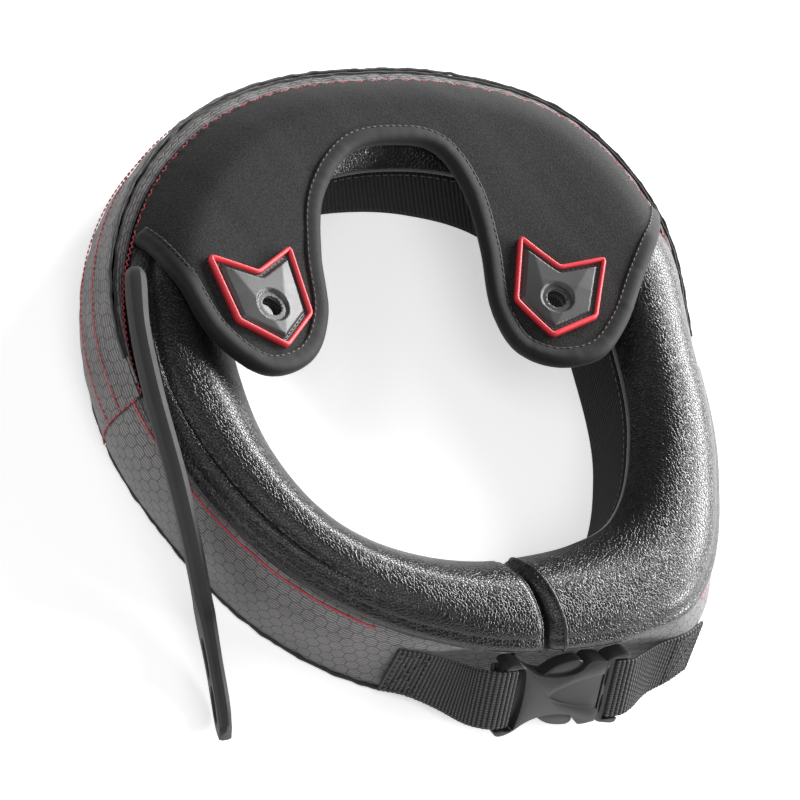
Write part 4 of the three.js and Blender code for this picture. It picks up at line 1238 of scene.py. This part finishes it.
def sew(name, lines, tree, slot, **inputs):
    """Runs a thread tree along lines of points, in millimetres, and keeps the plain mesh."""
    points, edges = [], []
    for line in lines:
        edges += [(len(points) + k, len(points) + k + 1) for k in range(len(line) - 1)]
        points += np.asarray(line).tolist()
    mesh = bpy.data.meshes.new(name)
    mesh.from_pydata(to_metres(points).tolist(), edges, [])
    piece = bpy.data.objects.new(name, mesh)
    scene.collection.objects.link(piece)
    modifier = piece.modifiers.new("Thread", "NODES")
    modifier.node_group = tree
    for item in tree.interface.items_tree:
        if item.in_out == "INPUT" and item.name in inputs:
            value = inputs[item.name]
            modifier[item.identifier] = value / 1000.0 if item.socket_type == NUMBER else value
    place_piece(applied(piece), slot)


# %% Red seams on the cloth
def upright_line(angle, low, high, lift):
    """Line up the outer wall at one angle."""
    heights = np.linspace(low, high, 24)[None, :]
    place = stations(share_at(np.array([angle])))
    return ring_points(place, place["width"][:, None] + wall_reach(place, heights) + lift, heights)[0]


def back_edge_line(first, last):
    """Line on the edge of the flap, and on the leather's edge in front of it."""
    count = int(abs(last - first) * 2.0)
    place = stations(share_at(np.linspace(first, last, count)))
    under = under_flap(place)
    reach, height = place["width"] + 0.5 - 0.8 * under, 35.2 + 2.0 * under
    return ring_points(place, reach[:, None], height[:, None])[:, 0]


def outwards(line):
    return line * (1, 1, 0)


def zigzag_line(line, half, pitch, up=None):
    """The line with its points set left and right of it by turns."""
    line = even_line(line, pitch)
    _, side, _ = path_frames(line, np.broadcast_to((0.0, 0.0, 1.0), line.shape) if up is None else up(line))
    turns = np.where(np.arange(len(line)) % 2, half, -half)[:, None]
    return line + side * turns


red_lines = [
    upright_line(LEFT_SEAM, 2.0, 32.0, 0.9), upright_line(RIGHT_SEAM, 2.0, 32.0, 0.9),
    wall_line(266.0, 452.5, 26.0, 0.7), wall_line(266.0, 452.5, 18.5, 0.75),
]
sew("red_seams", red_lines, stitches, "ripstop", Pitch=2.4, Length=2.2, Radius=0.29, Thread=red_thread)
front_seams = [wall_line(207.5, 265.0, 31.6, 0.5), wall_line(454.2, 502.5, 31.6, 0.5)]
sew("red_front_seams", [zigzag_line(line, 0.3, 0.9, outwards) for line in front_seams], zigzag, "ripstop",
    Radius=0.33, Thread=red_thread)
back_seam = back_edge_line(265.0, 453.5)
sew("red_zigzag_seam", [zigzag_line(back_seam, 0.42, 1.2)], zigzag, "ripstop", Radius=0.25, Thread=red_thread)

# %% Stitches on binding, shields, lining and webbing
bind_seam, bind_up = on_flap(even_line(inset_line(free_edge, 5.9), 1.0))
sew("binding_stitches", [bind_seam + bind_up * 2.45], stitches, "binding",
    Pitch=2.5, Length=1.8, Radius=0.24, Thread=dark_thread)
shield_seams = []
for shield in SHIELDS.values():
    loop = shield_outline(shield, RIM_WIDTH + 0.75, 0.8)
    points, normals = on_flap(even_line(np.concatenate([loop, loop[:1]]), 0.8), SEAT + 0.95)
    shield_seams.append(points)
sew("shield_stitches", shield_seams, stitches, "plate_rubber",
    Pitch=2.0, Length=1.3, Radius=0.2, Thread=black_thread)
place = stations(np.linspace(0.006, 0.994, 460))
neck_seam = ring_points(place, np.full((460, 1), 0.35), np.full((460, 1), LINING_TOP - 1.2))[:, 0]
sew("lining_stitches", [neck_seam], stitches, "lining",
    Pitch=3.0, Length=2.2, Radius=0.28, Thread=dark_thread)


def on_webbing(rows, marks, lift):
    """Points on a webbing strip's outer face: x along the buckle's axis and y across."""
    line = smooth_line(rows, 12)
    order = np.argsort(line[:, 0])
    x, y = np.asarray(marks, float).T
    out = np.interp(x, line[order, 0], line[order, 1]) + WEB_THICK / 2 + lift
    turn = math.pi / 2 - np.radians(np.interp(x, line[order, 0], line[order, 2]))
    cos, sin = np.cos(turn), np.sin(turn)
    return np.stack([x, y * cos - out * sin, y * sin + out * cos], -1) + BUCKLE


def box_cross(rows, x0, x1, half):
    corners = [(x0, -half), (x1, -half), (x1, half), (x0, half), (x0, -half)]
    lines = [corners, [(x0, -half), (x1, half)], [(x0, half), (x1, -half)]]
    return [on_webbing(rows, even_line(line, 0.8), 0.12) for line in lines]


webbing_seams = box_cross(RIGHT_TAIL, 49.5, 62.6, 9.2) + box_cross(LEFT_TAIL, -57.8, -48.0, 9.2)
sew("webbing_stitches", webbing_seams, stitches, "webbing",
    Pitch=2.2, Length=1.8, Radius=0.28, Thread=black_thread)

# %% [markdown]
# ## Floor, light and camera
# A plain pale floor under soft studio light, and a long lens from above the left front, turned a little about
# its axis.

# %% Floor and light
floor_finish = Finish("pale_floor", (0.9, 0.9, 0.9), 0.9, Emission_Color=(1, 1, 1, 1), Emission_Strength=0.5)
bpy.ops.mesh.primitive_plane_add(size=6.0, location=(0, 0, 0))
floor = bpy.context.object
floor.name = "floor"
floor.data.materials.append(floor_finish.material)
world = bpy.data.worlds.new("pale_studio")
world.use_nodes = True
world.node_tree.nodes["Background"].inputs["Color"].default_value = (1, 1, 1, 1)
world.node_tree.nodes["Background"].inputs["Strength"].default_value = 0.12
scene.world = world


def softbox(name, place, aim, size, watts):
    light = bpy.data.lights.new(name, "AREA")
    light.shape = "RECTANGLE"
    light.size, light.size_y = size
    light.energy = watts
    lamp = bpy.data.objects.new(name, light)
    scene.collection.objects.link(lamp)
    lamp.location = place
    lamp.rotation_euler = (Vector(aim) - Vector(place)).to_track_quat("-Z", "Y").to_euler()


softbox("front_top_box", (-0.5, -0.7, 1.5), (0, 0, 0), (1.3, 1.3), 12)
softbox("right_box", (1.2, 0.5, 0.66), (0, 0, 0.03), (1.3, 0.4), 52)
softbox("front_right_strip", (1.2, -0.5, 0.42), (0, 0, 0.03), (0.5, 0.3), 16)
softbox("left_box", (-1.3, 0.3, 0.8), (0, 0, 0.03), (0.5, 1.0), 4)
scene.view_settings.view_transform = "Standard"

# %% Camera
RIGHT = Vector((0.8778, -0.2634, 0.4001))
UP = Vector((0.0460, 0.8778, 0.4768))
BACK = Vector((-0.4769, -0.4001, 0.7826))
AIM = Vector((0.01634, 0.01502, 0.0))
camera_data = bpy.data.cameras.new("camera")
camera_data.lens = 138.6
camera_data.sensor_width = 36.0
camera = bpy.data.objects.new("camera", camera_data)
scene.collection.objects.link(camera)
turn = Matrix((RIGHT, UP, BACK)).transposed().to_4x4()
camera.matrix_world = Matrix.Translation(AIM + BACK * 1.1 - RIGHT * 0.00714 - UP * 0.00786) @ turn
scene.camera = camera
